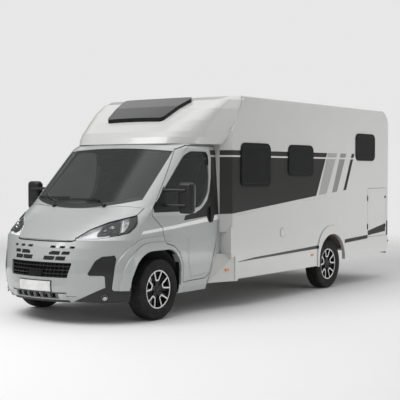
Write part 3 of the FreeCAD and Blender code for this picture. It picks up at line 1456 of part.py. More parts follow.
def rim(middle, station, sign):
    ring = turned(rim_profile, middle, station, sign)
    start = at(middle + sign * d.hub_inset, station, wheel_radius)
    hub = Part.makeCylinder(hub_radius, d.hub_depth, start, Vector(sign, 0, 0))
    bore = Part.makeCylinder(d.hub_bore / 2 + d.bore_clearance, d.hub_depth - d.hub_cap, start,
                             Vector(sign, 0, 0))
    spoke_start = d.hub_inset + d.hub_depth - d.spoke_thickness
    spokes = []
    for index in range(5):
        for lean in (-1, 1):
            foot_turn = math.radians(72 * index) + lean * math.radians(d.spoke_foot_turn)
            head_turn = math.radians(72 * index) + lean * math.radians(d.spoke_head_turn)
            foot = Vector(0, math.sin(foot_turn), math.cos(foot_turn)) * hub_radius * d.spoke_root_share
            head = Vector(0, math.sin(head_turn), math.cos(head_turn)) * (
                rim_outer - d.rim_wall / 2)
            run = (head - foot).normalize()
            wide = Vector(1, 0, 0).cross(run) * (d.spoke_width / 2)
            low = at(middle + sign * spoke_start, station, wheel_radius)
            corners = [low + foot - wide, low + foot + wide, low + head + wide,
                       low + head - wide, low + foot - wide]
            spokes.append(prism(Part.makePolygon(corners),
                                Vector(sign * d.spoke_thickness, 0, 0)))
    return ring.fuse([hub] + spokes).cut(bore)


for end, station, track in (("front", front_axle, d.front_track),
                            ("rear", rear_axle, d.rear_track)):
    for name, sign in (("left", 1), ("right", -1)):
        middle = sign * track / 2
        feature(f"tyre_{end}_{name}", turned(tyre_profile, middle, station, sign))
        feature(f"rim_{end}_{name}", rim(middle, station, sign))

doc.recompute()
faulty = [made.Name for made in doc.Objects
          if "Invalid" in made.State or "Error" in made.State]
faulty += [label for label, made in nodes.items()
           if made.Shape.isNull() or not made.Shape.isValid() or not made.Shape.Solids]
if faulty:
    raise RuntimeError("faulty pieces: " + ", ".join(faulty))
os.makedirs("parts", exist_ok=True)
for label, made in nodes.items():
    made.Shape.exportStep("parts/" + label + ".step")
print(len(nodes), "nodes written")
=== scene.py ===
import json
import math
import bmesh
import bpy
import numpy as np
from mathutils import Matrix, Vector


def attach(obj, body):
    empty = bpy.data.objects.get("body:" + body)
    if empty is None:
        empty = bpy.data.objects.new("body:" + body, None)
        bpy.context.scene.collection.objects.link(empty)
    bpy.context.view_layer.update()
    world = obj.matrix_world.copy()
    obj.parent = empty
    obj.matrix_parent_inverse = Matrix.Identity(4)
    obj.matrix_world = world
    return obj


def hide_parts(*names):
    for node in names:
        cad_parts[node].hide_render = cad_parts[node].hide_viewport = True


# A semi-integrated motorhome in a pale studio. Metres, +Z up, the front faces -Y, +X is its left.
# A station is the distance behind the front bumper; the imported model's middle is at Y 0.
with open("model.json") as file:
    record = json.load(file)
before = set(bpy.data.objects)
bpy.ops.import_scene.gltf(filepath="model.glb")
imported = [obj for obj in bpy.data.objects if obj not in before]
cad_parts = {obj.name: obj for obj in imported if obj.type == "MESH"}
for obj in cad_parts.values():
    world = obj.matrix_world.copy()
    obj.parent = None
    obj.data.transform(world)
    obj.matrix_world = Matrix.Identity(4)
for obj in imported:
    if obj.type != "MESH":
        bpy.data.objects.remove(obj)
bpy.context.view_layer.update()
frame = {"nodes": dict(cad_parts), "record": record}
scene = bpy.context.scene
halfLength = 3.495
wheelHeight = 0.363
noiseMiddle = (0.3, 0.7)


def toY(station):
    return np.asarray(station, float) - halfLength


def spot(side, station, height):
    # a place in the frame from its side, station and height
    return np.array((side, toY(station), height), float)


def stacked(*values):
    # the values, stretched to one shape, side by side along a new last axis
    return np.stack(np.broadcast_arrays(*values), axis=-1)


def newMaterial(name, **settings):
    # a material with one Principled shader, its plain values set by socket name
    material = bpy.data.materials.new(name)
    material.use_nodes = True
    shader = material.node_tree.nodes["Principled BSDF"]
    for socket, value in settings.items():
        if isinstance(value, tuple) and len(value) == 3:
            value = (*value, 1.0)
        shader.inputs[socket.replace("_", " ")].default_value = value
    return material


def feed(tree, socket, value):
    # links an output into a socket, or writes a plain value there
    if isinstance(value, bpy.types.NodeSocket):
        tree.links.new(value, socket)
    elif isinstance(value, tuple) and len(value) == 3 and socket.type == "RGBA":
        socket.default_value = (*value, 1.0)
    else:
        socket.default_value = value


def addNode(tree, kind, inputs=(), **settings):
    # a shader node with its settings, and a value or an output for each of the given inputs
    node = tree.nodes.new("ShaderNode" + kind)
    for setting, value in settings.items():
        setattr(node, setting, value)
    for socket, value in dict(inputs).items():
        feed(tree, node.inputs[socket], value)
    return node


def shade(tree, socket, value):
    feed(tree, tree.nodes["Principled BSDF"].inputs[socket], value)


def sums(tree, operation, *values, clamp=False):
    return addNode(tree, "Math", enumerate(values), operation=operation,
                   use_clamp=clamp).outputs[0]


def mixColour(tree, share, first, second):
    return addNode(tree, "Mix", {0: share, 6: first, 7: second}, data_type="RGBA").outputs[2]


def noise(tree, scale, detail=2.0, stretch=(1, 1, 1)):
    # fractal noise on object coordinates, stretched along the axes; its mean is about 0.5
    place = addNode(tree, "TexCoord").outputs["Object"]
    place = addNode(tree, "Mapping", {"Vector": place, "Scale": stretch}).outputs["Vector"]
    return addNode(tree, "TexNoise", {"Vector": place, "Scale": scale,
                                      "Detail": detail}).outputs["Fac"]


def bumpFrom(tree, height, strength, distance):
    bump = addNode(tree, "Bump", {"Height": height, "Strength": strength, "Distance": distance})
    shade(tree, "Normal", bump.outputs["Normal"])


def remap(tree, value, low, high, toLow=0.0, toHigh=1.0, shape="LINEAR"):
    # carries the span from low to high over to another, held at its ends
    return addNode(tree, "MapRange", {"Value": value, "From Min": low, "From Max": high,
                                      "To Min": toLow, "To Max": toHigh},
                   interpolation_type=shape).outputs[0]


def spread(tree, value, low, high):
    # stretches a noise's middle range over the two given values
    return remap(tree, value, *noiseMiddle, low, high)


def tinted(colour, factor):
    return tuple(channel * factor for channel in colour)


# painted bands and stripes on both flanks, with a painted highlight round the cab's window and
# along the door's crease: colours, convex outlines as corners of station and height, and each
# paint's least side with the lean of that side above the waist
decor = {
    "waist": 1.42, "cabReach": (0.955, 0.169), "windowReach": (0.880, 0.15),
    "bodyReach": (1.012, 0.0), "archSide": 1.000,
    "panelEdge": 0.030, "panelDepth": 0.010, "swageEdge": 0.012, "swageHeight": 0.006,
    "bandColour": (0.020, 0.020, 0.019),
    # painted highlight: the door frame round the cab's window, lighter than the cab's own paint
    "windowRimHighlight": (0.46, 0.47, 0.465),
    # the accent stripe's white, partly the stripe's own white and partly a painted highlight along
    # the door's crease
    "accentWhiteAndHighlight": (0.80, 0.80, 0.79),
    "lineColour": (0.50, 0.50, 0.49),
    "lightGrey": (0.29, 0.29, 0.285),
    "midGrey": (0.204, 0.204, 0.204),
    "black": (0.016, 0.016, 0.016),
    "band": ((2.27, 1.205), (4.55, 1.397), (4.877, 2.027), (2.27, 2.027)),
    "stripeOne": ((4.618, 1.405), (4.862, 1.425), (5.192, 2.027), (4.898, 2.027)),
    "stripeTwo": ((5.028, 1.435), (5.185, 1.447), (5.487, 2.027), (5.300, 2.027)),
    "stripeThree": ((5.392, 1.462), (5.480, 1.469), (5.756, 2.027), (5.666, 2.027)),
    "lowStripe": ((2.490, 0.583), (4.60, 0.622), (4.60, 0.668), (2.900, 0.619), (2.490, 0.589)),
    "lowStripeRear": ((5.40, 0.652), (6.225, 0.680), (6.225, 0.737), (5.40, 0.708)),
    "wedge": ((6.235, 0.728), (6.870, 0.768), (6.870, 0.898), (6.235, 0.802)),
    "tailBlock": ((6.91, 0.70), (6.99, 0.70), (6.99, 0.955), (6.91, 0.93)),
    "whiteLine": ((2.0, 1.940), (5.9, 1.940), (5.9, 1.962), (2.0, 1.962)),
    "doorBand": ((1.555, 1.156), (2.38, 1.213), (2.38, 2.027), (2.136, 2.027), (1.587, 1.217)),
    # outline of the painted highlight on the door frame round the window
    "windowRim": ((0.953, 1.238), (1.587, 1.217), (1.796, 1.242), (1.906, 1.282), (1.992, 1.336),
                  (2.061, 1.394), (2.118, 1.506), (2.162, 1.667), (2.192, 1.911), (2.176, 2.000),
                  (2.153, 2.065), (1.762, 2.057), (1.644, 2.008), (1.567, 1.952),
                  (0.939, 1.332)),
    "windowFrame": ((0.990, 1.271), (1.484, 1.266), (1.680, 1.282), (1.808, 1.322),
                    (1.900, 1.362), (1.996, 1.428), (2.062, 1.539), (2.112, 1.700),
                    (2.135, 1.870), (2.128, 1.959), (2.086, 2.005), (1.775, 2.002),
                    (1.667, 1.973), (1.598, 1.936), (0.970, 1.331)),
    # the accent stripe along the door's crease: white paint, partly a painted highlight
    "accent": ((0.743, 1.026), (1.373, 1.066), (1.373, 1.106), (0.768, 1.062)),
    "accentRear": ((1.370, 1.066), (2.38, 1.150), (2.38, 1.208), (1.370, 1.106)),
    "archReveal": ((0.540, 0.28), (1.470, 0.28), (1.470, 0.62), (1.33, 0.834), (0.78, 0.834),
                   (0.63, 0.72), (0.540, 0.50)),
    "doorPanel": ((1.645, 0.451), (2.085, 0.472), (2.182, 0.751), (2.225, 0.964), (1.555, 0.947),
                  (1.641, 0.657)),
    "swage": ((2.365, 1.180), (4.842, 1.370), (4.842, 1.388), (2.365, 1.204)),
}


def flankMask(tree, plane, shape):
    # the least signed distance to a convex outline's edges, above zero inside it
    corners, nearest = decor[shape], None
    for (s0, z0), (s1, z1) in zip(corners, corners[1:] + corners[:1]):
        run = math.hypot(s1 - s0, z1 - z0)
        normal = (-(z1 - z0) / run, (s1 - s0) / run)
        offset = normal[0] * (s0 - halfLength) + normal[1] * z0
        distance = addNode(tree, "VectorMath", {0: plane, 1: (*normal, -offset)},
                           operation="DOT_PRODUCT").outputs["Value"]
        nearest = sums(tree, "MINIMUM", nearest, distance) if nearest else distance
    return nearest


def isInside(tree, plane, shape):
    return sums(tree, "GREATER_THAN", flankMask(tree, plane, shape), 0.0)


def flankPlane(tree):
    # a vector of Y, height and 1 for the outlines, then the distance from the middle, and height
    place = addNode(tree, "TexCoord").outputs["Object"]
    parts = addNode(tree, "SeparateXYZ", {0: place}).outputs
    plane = addNode(tree, "CombineXYZ", {0: parts["Y"], 1: parts["Z"], 2: 1.0}).outputs[0]
    return plane, sums(tree, "ABSOLUTE", parts["X"]), parts["Z"]


def relief(tree, shape, depth, softness):
    # a pressed form: its depth inside the outline and nothing outside, over a soft edge
    edge = sums(tree, "DIVIDE", flankMask(tree, flankPlane(tree)[0], shape), softness)
    return sums(tree, "MULTIPLY", sums(tree, "MULTIPLY_ADD", edge, 1.0, 0.5, clamp=True), depth)


def flankPaint(tree, colour, reach, layers):
    # paints layers where the skin lies farther out than a side that leans in above the waist
    plane, side, height = flankPlane(tree)
    rise = sums(tree, "MAXIMUM", sums(tree, "SUBTRACT", height, decor["waist"]), 0.0)
    limit = sums(tree, "SUBTRACT", reach[0], sums(tree, "MULTIPLY", rise, reach[1]))
    outer = sums(tree, "GREATER_THAN", side, limit)
    for shape, tint in layers:
        share = sums(tree, "MULTIPLY", outer, isInside(tree, plane, shape))
        colour = mixColour(tree, share, colour, decor[tint])
    return colour


paint = {
    "cab": (0.385, 0.398, 0.396), "tones": (0.9, 1.1), "flakeScale": 900.0, "flake": (0.94, 1.06),
    "body": (0.475, 0.475, 0.467), "bodyShade": 0.985, "dustScale": 3.0, "dust": (0.985, 1.015),
    "waveScale": 7.0, "waveShare": 0.02,
}


def cabPaint():
    # metallic lacquer: fine flake noise in its colour, a slow drift, and a clear coat
    material = newMaterial("cabSilverPaint", Metallic=0.20, Roughness=0.38, Coat_Weight=0.7,
                           Coat_Roughness=0.06)
    tree = material.node_tree
    flake = spread(tree, noise(tree, paint["flakeScale"], 1.0), *paint["flake"])
    drift = spread(tree, noise(tree, paint["dustScale"], 3.0), *paint["dust"])
    dark, bright = paint["tones"]
    share = sums(tree, "MULTIPLY_ADD", sums(tree, "MULTIPLY", flake, drift),
                 1 / (bright - dark), -dark / (bright - dark), clamp=True)
    colour = mixColour(tree, share, tinted(paint["cab"], dark), tinted(paint["cab"], bright))
    # the door's band, the white line and the accent stripe, which is partly a painted highlight on
    # the crease
    colour = flankPaint(tree, colour, decor["cabReach"], (
        ("doorBand", "bandColour"), ("whiteLine", "lineColour"), ("accent", "accentWhiteAndHighlight"),
        ("accentRear", "accentWhiteAndHighlight")))
    # a painted highlight on the door frame round the window, and the window's black frame
    colour = flankPaint(tree, colour, decor["windowReach"], (
        ("windowRim", "windowRimHighlight"), ("windowFrame", "black")))
    plane, side, _ = flankPlane(tree)
    reveal = sums(tree, "MULTIPLY", isInside(tree, plane, "archReveal"),
                  sums(tree, "LESS_THAN", side, decor["archSide"]))
    shade(tree, "Base Color", mixColour(tree, reveal, colour, decor["black"]))
    bumpFrom(tree, relief(tree, "doorPanel", -1.0, decor["panelEdge"]), 1.0, decor["panelDepth"])
    return material


def bodyPaint():
    # smooth lacquered sheet with a faint waviness and light dust, and the painted bands
    material = newMaterial("bodyPanelPaint", Roughness=0.32, Coat_Weight=0.5,
                           Coat_Roughness=0.08)
    tree = material.node_tree
    drift = spread(tree, noise(tree, paint["dustScale"], 4.0), 0.0, 1.0)
    base = mixColour(tree, drift, tinted(paint["body"], paint["bodyShade"]), paint["body"])
    shade(tree, "Base Color", flankPaint(tree, base, decor["bodyReach"], (
        ("band", "bandColour"), ("stripeOne", "lightGrey"), ("stripeTwo", "midGrey"),
        ("stripeThree", "black"), ("whiteLine", "lineColour"), ("lowStripe", "black"),
        ("lowStripeRear", "black"), ("wedge", "black"), ("tailBlock", "black"))))
    wave = sums(tree, "MULTIPLY", noise(tree, paint["waveScale"], 1.0), paint["waveShare"])
    swage = relief(tree, "swage", 1.0, decor["swageEdge"])
    bumpFrom(tree, sums(tree, "ADD", swage, wave), 1.0, decor["swageHeight"])
    return material


finish = {
    "patchScale": 9.0, "patchTint": 0.12, "glossDrift": 0.04, "grainStrength": 0.5,
    "markScale": 120.0, "markStrength": 0.25, "markDepth": 0.0003, "smearScale": 5.0,
    "dustScale": 14.0, "rubberDark": (0.008, 0.008, 0.008), "rubberPale": (0.018, 0.0175, 0.017),
    "mouldScale": 700.0, "mouldStrength": 0.4, "mouldDepth": 0.0004,
}


def plastic(name, colour, roughness, grain=1400.0, depth=0.0003):
    # moulded plastic: a fine leather-like grain with slightly uneven gloss
    material = newMaterial(name, Base_Color=colour)
    tree = material.node_tree
    patch = noise(tree, finish["patchScale"], 3.0)
    tint, drift = finish["patchTint"], finish["glossDrift"]
    shade(tree, "Base Color", mixColour(tree, spread(tree, patch, 0.0, 1.0),
                                        tinted(colour, 1 - tint), tinted(colour, 1 + tint)))
    shade(tree, "Roughness", spread(tree, patch, roughness - drift, roughness + drift))
    bumpFrom(tree, noise(tree, grain, 2.0), finish["grainStrength"], depth)
    return material


def metal(name, colour, roughness, metallic=1.0, scratch=(1, 1, 1)):
    # metal with drawn or cast unevenness: noise stretched along one axis in gloss and height
    material = newMaterial(name, Base_Color=colour, Metallic=metallic)
    tree = material.node_tree
    marks, strength = noise(tree, finish["markScale"], 3.0, scratch), finish["markStrength"]
    shade(tree, "Roughness",
          spread(tree, marks, roughness * (1 - strength), roughness * (1 + strength)))
    bumpFrom(tree, marks, strength, finish["markDepth"])
    return material


def glassy(name, colour, alpha, roughness=0.02):
    # tinted glass: a share of it see-through, with a clear mirror coat, faintly smeared
    material = newMaterial(name, Base_Color=colour, Alpha=alpha, IOR=1.5,
                           Roughness=roughness, Coat_Weight=1.0, Coat_Roughness=0.02)
    tree = material.node_tree
    smear = noise(tree, finish["smearScale"], 4.0)
    shade(tree, "Roughness", spread(tree, smear, roughness, roughness * 2))
    return material


def rubber():
    # tyre rubber: mould grain, dust that gathers unevenly
    material = newMaterial("tyreRubber", Roughness=0.75, Specular_IOR_Level=0.3)
    tree = material.node_tree
    dust = spread(tree, noise(tree, finish["dustScale"], 4.0), 0.0, 1.0)
    shade(tree, "Base Color", mixColour(tree, dust, finish["rubberDark"], finish["rubberPale"]))
    bumpFrom(tree, noise(tree, finish["mouldScale"], 2.0), finish["mouldStrength"],
             finish["mouldDepth"])
    return material


looks = {
    "cab_paint": cabPaint(),
    "body_panel": bodyPaint(),
    "dark_trim": plastic("darkTrimPlastic", (0.013, 0.013, 0.014), 0.45),
    "silver_trim": plastic("silverTrimPlastic", (0.42, 0.43, 0.42), 0.35, 1800.0, 0.0001),
    "window_glass": glassy("cabWindowGlass", (0.035, 0.040, 0.039), 0.55),
    "acrylic": plastic("darkAcrylic", (0.011, 0.0115, 0.0115), 0.12, 40.0, 0.00005),
    "lamp": glassy("clearLampLens", (0.30, 0.31, 0.32), 0.05),
    "tail_lamp": glassy("redLampLens", (0.30, 0.010, 0.008), 0.92, 0.05),
    "tyre": rubber(),
    "alloy": metal("blackAlloyLacquer", (0.014, 0.014, 0.015), 0.25, 0.4),
    "steel": metal("chassisSteelPaint", (0.045, 0.045, 0.05), 0.55, 0.2),
    "iron": metal("castIronPaint", (0.07, 0.07, 0.07), 0.6, 0.5),
    "floor": plastic("sealedFloorBoard", (0.12, 0.10, 0.08), 0.6, 220.0),
    "interior": plastic("grainedDashPlastic", (0.045, 0.045, 0.05), 0.6, 900.0),
    "cloth": plastic("seatCloth", (0.06, 0.06, 0.065), 0.9, 600.0, 0.001),
    "exhaust_steel": metal("dullExhaustSteel", (0.30, 0.28, 0.26), 0.45, 1.0, (1, 0.1, 1)),
    "tank_plastic": plastic("tankPlastic", (0.03, 0.03, 0.03), 0.55),
}
brightMetal = metal("machinedAlloy", (0.66, 0.66, 0.65), 0.25, 0.45)
chrome = metal("lampReflector", (0.80, 0.80, 0.80), 0.12, 0.6)
# painted reflection: the lamp bowls are a pale grey that is not metallic, standing in for their
# chrome's bright reflection
bowlReflectionGrey = metal("lampBowlPaintedReflection", (0.80, 0.81, 0.82), 0.35, 0.0)
# painted shade: near-black sheets over the bumper's slots stand for the shade in their openings;
# the seam along the bonnet's front edge is a dark joint in the same black
slotShadeAndSeamBlack = plastic("slotShadeAndSeamDark", (0.004, 0.004, 0.004), 0.8)
intakeGrey = plastic("intakeGreyPlastic", (0.085, 0.087, 0.088), 0.4)
whitePlate = plastic("blankPlateSheet", (0.66, 0.66, 0.65), 0.35, 500.0, 0.00005)
amber = glassy("amberMarkerLens", (0.75, 0.22, 0.02), 0.95, 0.08)

for subpart in frame["record"]["subparts"]:
    carried = frame["nodes"][subpart["node"]]
    for slot in carried.material_slots:
        slot.material = looks[subpart["material_slot"]]
frame["nodes"]["lower_intake"].material_slots[0].material = intakeGrey
print("frame dressed:", len(frame["nodes"]), "nodes")


def gridFaces(rows, columns, wrapRows=False, wrapColumns=False):
    # quads between neighbouring points of a grid; a wrapped side joins its last to its first
    row, column = np.meshgrid(np.arange(rows if wrapRows else rows - 1),
                              np.arange(columns if wrapColumns else columns - 1), indexing="ij")
    nextRow, nextColumn = (row + 1) % rows, (column + 1) % columns
    return stacked(row * columns + column, nextRow * columns + column,
                   nextRow * columns + nextColumn, row * columns + nextColumn).reshape(-1, 4)


weld, sliver = 0.00002, 0.00001


def addPiece(name, parts, slot, material=None, body="vehicle", replaced=(), sharpAngle=35.0):
    # one object from several (points, faces) surfaces; faces may be quads or longer outlines
    allPoints, allFaces, count = [], [], 0
    for points, faces in parts:
        allPoints.append(np.asarray(points, float).reshape(-1, 3))
        faces = faces.tolist() if isinstance(faces, np.ndarray) else faces
        allFaces += [[index + count for index in face] for face in faces]
        count += len(allPoints[-1])
    mesh = bpy.data.meshes.new(name)
    mesh.from_pydata(np.concatenate(allPoints).tolist(), [], allFaces)
    work = bmesh.new()
    work.from_mesh(mesh)
    bmesh.ops.remove_doubles(work, verts=work.verts, dist=weld)
    bmesh.ops.dissolve_degenerate(work, edges=work.edges, dist=sliver)
    bmesh.ops.recalc_face_normals(work, faces=work.faces)
    work.to_mesh(mesh)
    work.free()
    mesh.update()
    mesh.materials.append(material or looks[slot])
    piece = bpy.data.objects.new(name, mesh)
    scene.collection.objects.link(piece)
    mesh.shade_smooth()
    mesh.set_sharp_from_angle(angle=math.radians(sharpAngle))
    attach(piece, body)
    if replaced:
        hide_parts(*replaced)
    return piece


def lathe(profile, centre, turns, side=1, radial=None):
    # a profile of (run, radius) carried round an axle along X; radial adds to its radius
    run, radius = np.array(profile, float).T
    angle = np.linspace(0, 2 * math.pi, turns, endpoint=False)[:, None]
    if radial:
        radius = radius + radial(angle, run, radius)
    points = stacked(centre[0] + side * run, centre[1] + side * radius * np.sin(angle),
                     centre[2] + radius * np.cos(angle))
    return points, gridFaces(turns, len(profile), True, True)


def evenPath(points, count):
    # straight runs through the points, resampled at even steps
    points = np.asarray(points, float)
    along = np.concatenate([[0], np.cumsum(np.linalg.norm(np.diff(points, axis=0), axis=1))])
    wanted = np.linspace(0, along[-1], count)
    return stacked(*[np.interp(wanted, along, values) for values in points.T])


def sheetBetween(outer, inner):
    # a closed sheet between two matching grids: both faces and the strip round their rims
    rows, columns = outer.shape[:2]
    count = rows * columns
    front = gridFaces(rows, columns)
    rim = np.concatenate([np.arange(columns), np.arange(1, rows) * columns + columns - 1,
                          (rows - 1) * columns + np.arange(columns - 2, -1, -1),
                          np.arange(rows - 2, 0, -1) * columns])
    following = np.roll(rim, -1)
    strip = stacked(rim, following, following + count, rim + count)
    points = np.concatenate([outer.reshape(-1, 3), inner.reshape(-1, 3)])
    return points, np.concatenate([front, front[:, ::-1] + count, strip])


def sweep(path, profile, upright=(0, 0, 1), closed=False):
    # a closed profile of (across, up) offsets carried along a path, square to its direction
    path, profile = np.asarray(path, float), np.asarray(profile, float)
    ahead = np.roll(path, -1, 0) - np.roll(path, 1, 0) if closed else np.gradient(path, axis=0)
    ahead /= np.linalg.norm(ahead, axis=1, keepdims=True)
    across = np.cross(ahead, np.broadcast_to(upright, path.shape))
    across /= np.linalg.norm(across, axis=1, keepdims=True)
    up = np.cross(across, ahead)
    points = (path[:, None] + across[:, None] * profile[:, :1]
              + up[:, None] * profile[:, 1:])
    sides = len(profile)
    faces = gridFaces(len(path), sides, closed, True).tolist()
    if not closed:
        faces += [list(range(sides)), [(len(path) - 1) * sides + i for i in range(sides)]]
    return points, faces


def roundBar(radius, sides):
    # a circle as (across, up) offsets
    turn = np.linspace(0, 2 * math.pi, sides, endpoint=False)
    return stacked(np.cos(turn), np.sin(turn)) * radius


def flatBar(width, depth):
    return np.array([(-width, -depth), (width, -depth), (width, depth), (-width, depth)]) / 2


def softBox(centre, half, radius, steps=5):
    # a box with rounded edges: each eighth of a sphere is moved out to the box's inner corner
    quarter = np.linspace(0, math.pi / 2, steps)
    turn = np.concatenate([quarter + k * math.pi / 2 for k in range(4)])
    tilt = np.concatenate([quarter, quarter + math.pi / 2])[:, None]
    signs = stacked(np.repeat([1, -1, -1, 1], steps), np.repeat([1, 1, -1, -1], steps),
                    np.repeat([1, -1], steps)[:, None])
    normal = stacked(np.sin(tilt) * np.cos(turn), np.sin(tilt) * np.sin(turn), np.cos(tilt))
    faces = gridFaces(2 * steps, 4 * steps, False, True).tolist()
    foot = [k * steps for k in range(4)]
    faces += [foot, [(2 * steps - 1) * 4 * steps + index for index in foot]]
    return centre + signs * (np.asarray(half, float) - radius) + radius * normal, faces


def softBoxes(places, half, radius, *signs):
    # rounded boxes of one size at the places, for the sign -1 at their mirror places
    return [softBox(spot(*place) * (sign, 1, 1), half, radius)
            for sign in signs or (1,) for place in places]


def roundedLoop(low, high, corner, count=8):
    # a rounded rectangle's outline as (station, height) points
    turn = np.linspace(0, math.pi / 2, count) + np.arange(4)[:, None] * math.pi / 2
    (front, foot), (back, top) = np.array(low) + corner, np.array(high) - corner
    centres = np.array(((back, top), (front, top), (front, foot), (back, foot)))
    return (centres[:, None] + corner * stacked(np.cos(turn), np.sin(turn))).reshape(-1, 2)


# the cab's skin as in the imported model: height, nose, half width, corner depth, squareness
cabSkin = {
    "levels": np.array((
        (0.129, 0.040, 0.960, 0.97, 2.2), (0.160, 0.009, 0.982, 1.00, 2.2),
        (0.214, 0.000, 0.994, 1.00, 2.2), (0.286, 0.012, 1.000, 0.93, 2.35),
        (0.357, 0.041, 1.000, 0.86, 2.5), (0.419, 0.080, 1.000, 0.75, 2.7),
        (0.462, 0.1155, 0.998, 0.66, 3.0), (0.505, 0.187, 0.996, 0.61, 3.1),
        (0.548, 0.267, 0.994, 0.56, 3.2), (0.590, 0.353, 0.990, 0.515, 3.4),
        (0.633, 0.449, 0.986, 0.47, 3.6), (0.676, 0.525, 0.978, 0.42, 4.0),
        (0.971, 0.945, 0.935, 0.36, 4.0), (0.990, 0.975, 0.918, 0.38, 3.6),
        (1.000, 0.990, 0.898, 0.40, 3.2))),
    "scale": (2.100, 1.515, 1.005, 0.640), "curve": 0.77, "halvings": 30,
}


def cabLevel(height):
    levels, scale = cabSkin["levels"], cabSkin["scale"]
    level = np.asarray(height, float) / scale[0]
    return [np.interp(level, levels[:, 0], values) * size
            for values, size in zip(levels.T[1:], (*scale[1:], 1.0))]


def cabFront(side, height):
    # the skin's station: the nose's, and behind it the corner's depth times its curve
    nose, half, depth, power = cabLevel(height)
    share = np.clip(np.abs(side) / half, 0, 1)
    return nose + depth * (1 - (1 - share ** power) ** cabSkin["curve"])


def cabSide(station, height):
    # the skin's side at a station and height, found by halving
    high = cabLevel(height)[1] + np.zeros(np.shape(station))
    low = np.zeros(np.shape(high))
    for _ in range(cabSkin["halvings"]):
        middle = (low + high) / 2
        ahead = cabFront(middle, height) < station
        low, high = np.where(ahead, middle, low), np.where(ahead, high, middle)
    return high


def cabPoints(side, height, proud=0.0):
    # points on the cab's skin, lifted off it along its normal
    step = 0.003
    slopeSide = (cabFront(side + step, height) - cabFront(side - step, height)) / (2 * step)
    slopeUp = (cabFront(side, height + step) - cabFront(side, height - step)) / (2 * step)
    normal = stacked(slopeSide, -1.0, slopeUp)
    normal /= np.linalg.norm(normal, axis=-1, keepdims=True)
    return stacked(side, toY(cabFront(side, height)), height) + normal * proud


wheels = {"front_left": (0.915, 1.045), "front_right": (-0.915, 1.045),
          "rear_left": (1.010, 5.018), "rear_right": (-1.010, 5.018)}
tyre = {
    "section": ((0.088, 0.2290), (0.100, 0.234), (0.108, 0.250), (0.112, 0.272), (0.1125, 0.292),
                (0.110, 0.314), (0.105, 0.333), (0.099, 0.346), (0.090, 0.3555), (0.078, 0.3602)),
    "bead": ((-0.07, 0.2290), (0.07, 0.2290)),
    "treadHalf": 0.078, "crown": (0.3602, 0.0028), "edgeDrop": 0.006,
    "grooveSides": (-0.054, -0.019, 0.019, 0.054), "grooveWidth": 0.005, "grooveDepth": 0.008,
    "blocks": 62, "slant": 0.5625, "cutFrom": 0.72, "cutRise": 0.2, "sipeDepth": 0.004,
    "shoulder": (0.060, 0.006, 0.003), "ring": (0.337, 0.0022, 0.0012), "turns": 310,
    "sectionCount": 22, "crownCount": 39,
}


def tyreParts(centre, side):
    # the section's sidewalls and crown, with grooves round the tread and slanted cuts across it
    outer = evenPath(tyre["section"], tyre["sectionCount"])
    half, (edge, rise) = tyre["treadHalf"], tyre["crown"]
    run = np.linspace(half, -half, tyre["crownCount"])[1:-1]
    crown = stacked(run, edge + rise * (1 - (run / half) ** 2))
    profile = np.concatenate([outer, crown, outer[::-1] * (-1, 1), tyre["bead"]])

    def tread(angle, run, radius):
        grooves = sum(np.exp(-((run - middle) / tyre["grooveWidth"]) ** 4)
                      for middle in tyre["grooveSides"])
        wave = np.cos(tyre["blocks"] * (angle + np.abs(run) * tyre["slant"]))
        cuts = np.clip((wave - tyre["cutFrom"]) / tyre["cutRise"], 0, 1)
        start, width, deeper = tyre["shoulder"]
        shoulder = np.clip((np.abs(run) - start) / width, 0, 1)
        depth = np.maximum(grooves * tyre["grooveDepth"],
                           cuts * (tyre["sipeDepth"] + deeper * shoulder))
        place, width, height = tyre["ring"]
        rings = height * np.exp(-((radius - place) / width) ** 2)
        return rings - depth * (radius > edge - tyre["edgeDrop"])
    return lathe(profile, centre, tyre["turns"], side, tread)


rim = {
    "barrel": ((0.0885, 0.2280), (0.0890, 0.2220), (0.0830, 0.2185), (0.0760, 0.2135),
               (0.030, 0.2040), (-0.050, 0.2010), (-0.0890, 0.2170), (-0.0890, 0.2275),
               (-0.055, 0.2200), (0.055, 0.2200)),
    "lip": ((0.0890, 0.2284), (0.0920, 0.2266), (0.0920, 0.2150), (0.0890, 0.2128),
            (0.0870, 0.2240)),
    "dish": ((0.040, 0.000), (0.040, 0.052), (0.030, 0.060), (0.020, 0.085), (0.012, 0.085),
             (0.012, 0.000)),
    "cap": ((0.0760, 0.0), (0.0756, 0.012), (0.0740, 0.018), (0.0742, 0.026), (0.0730, 0.031),
            (0.066, 0.034), (0.040, 0.036), (0.040, 0.0)),
    "loop": ((-0.070, 0.2150), (-0.029, 0.116), (-0.021, 0.106), (0.021, 0.106), (0.029, 0.116),
             (0.070, 0.2150)),
    "stem": ((0.0, 0.030), (0.0, 0.104)),
    "rib": ((0.0, 0.040), (0.0, 0.206)),
    # path, its points, distance out, sink towards the hub, width and depth
    "bars": {"loop": ("loop", 34, 0.072, 0.028, 0.034, 0.026),
             "face": ("loop", 34, 0.087, 0.028, 0.0175, 0.006),
             "stem": ("stem", 6, 0.070, 0.020, 0.056, 0.030),
             "rib": ("rib", 8, 0.054, 0.012, 0.013, 0.022)},
    "radius": 0.215, "spokes": 5, "ribLean": 7.7, "nutCircle": 0.062,
    "nut": ((0.058, 0.0), (0.058, 0.0068), (0.054, 0.0085), (0.030, 0.0085), (0.030, 0.0)),
    "turns": {"barrel": 96, "lip": 96, "dish": 48, "cap": 40, "nut": 12},
}


def rimRing(part, centre, side):
    return lathe(rim[part], centre, rim["turns"][part], side)


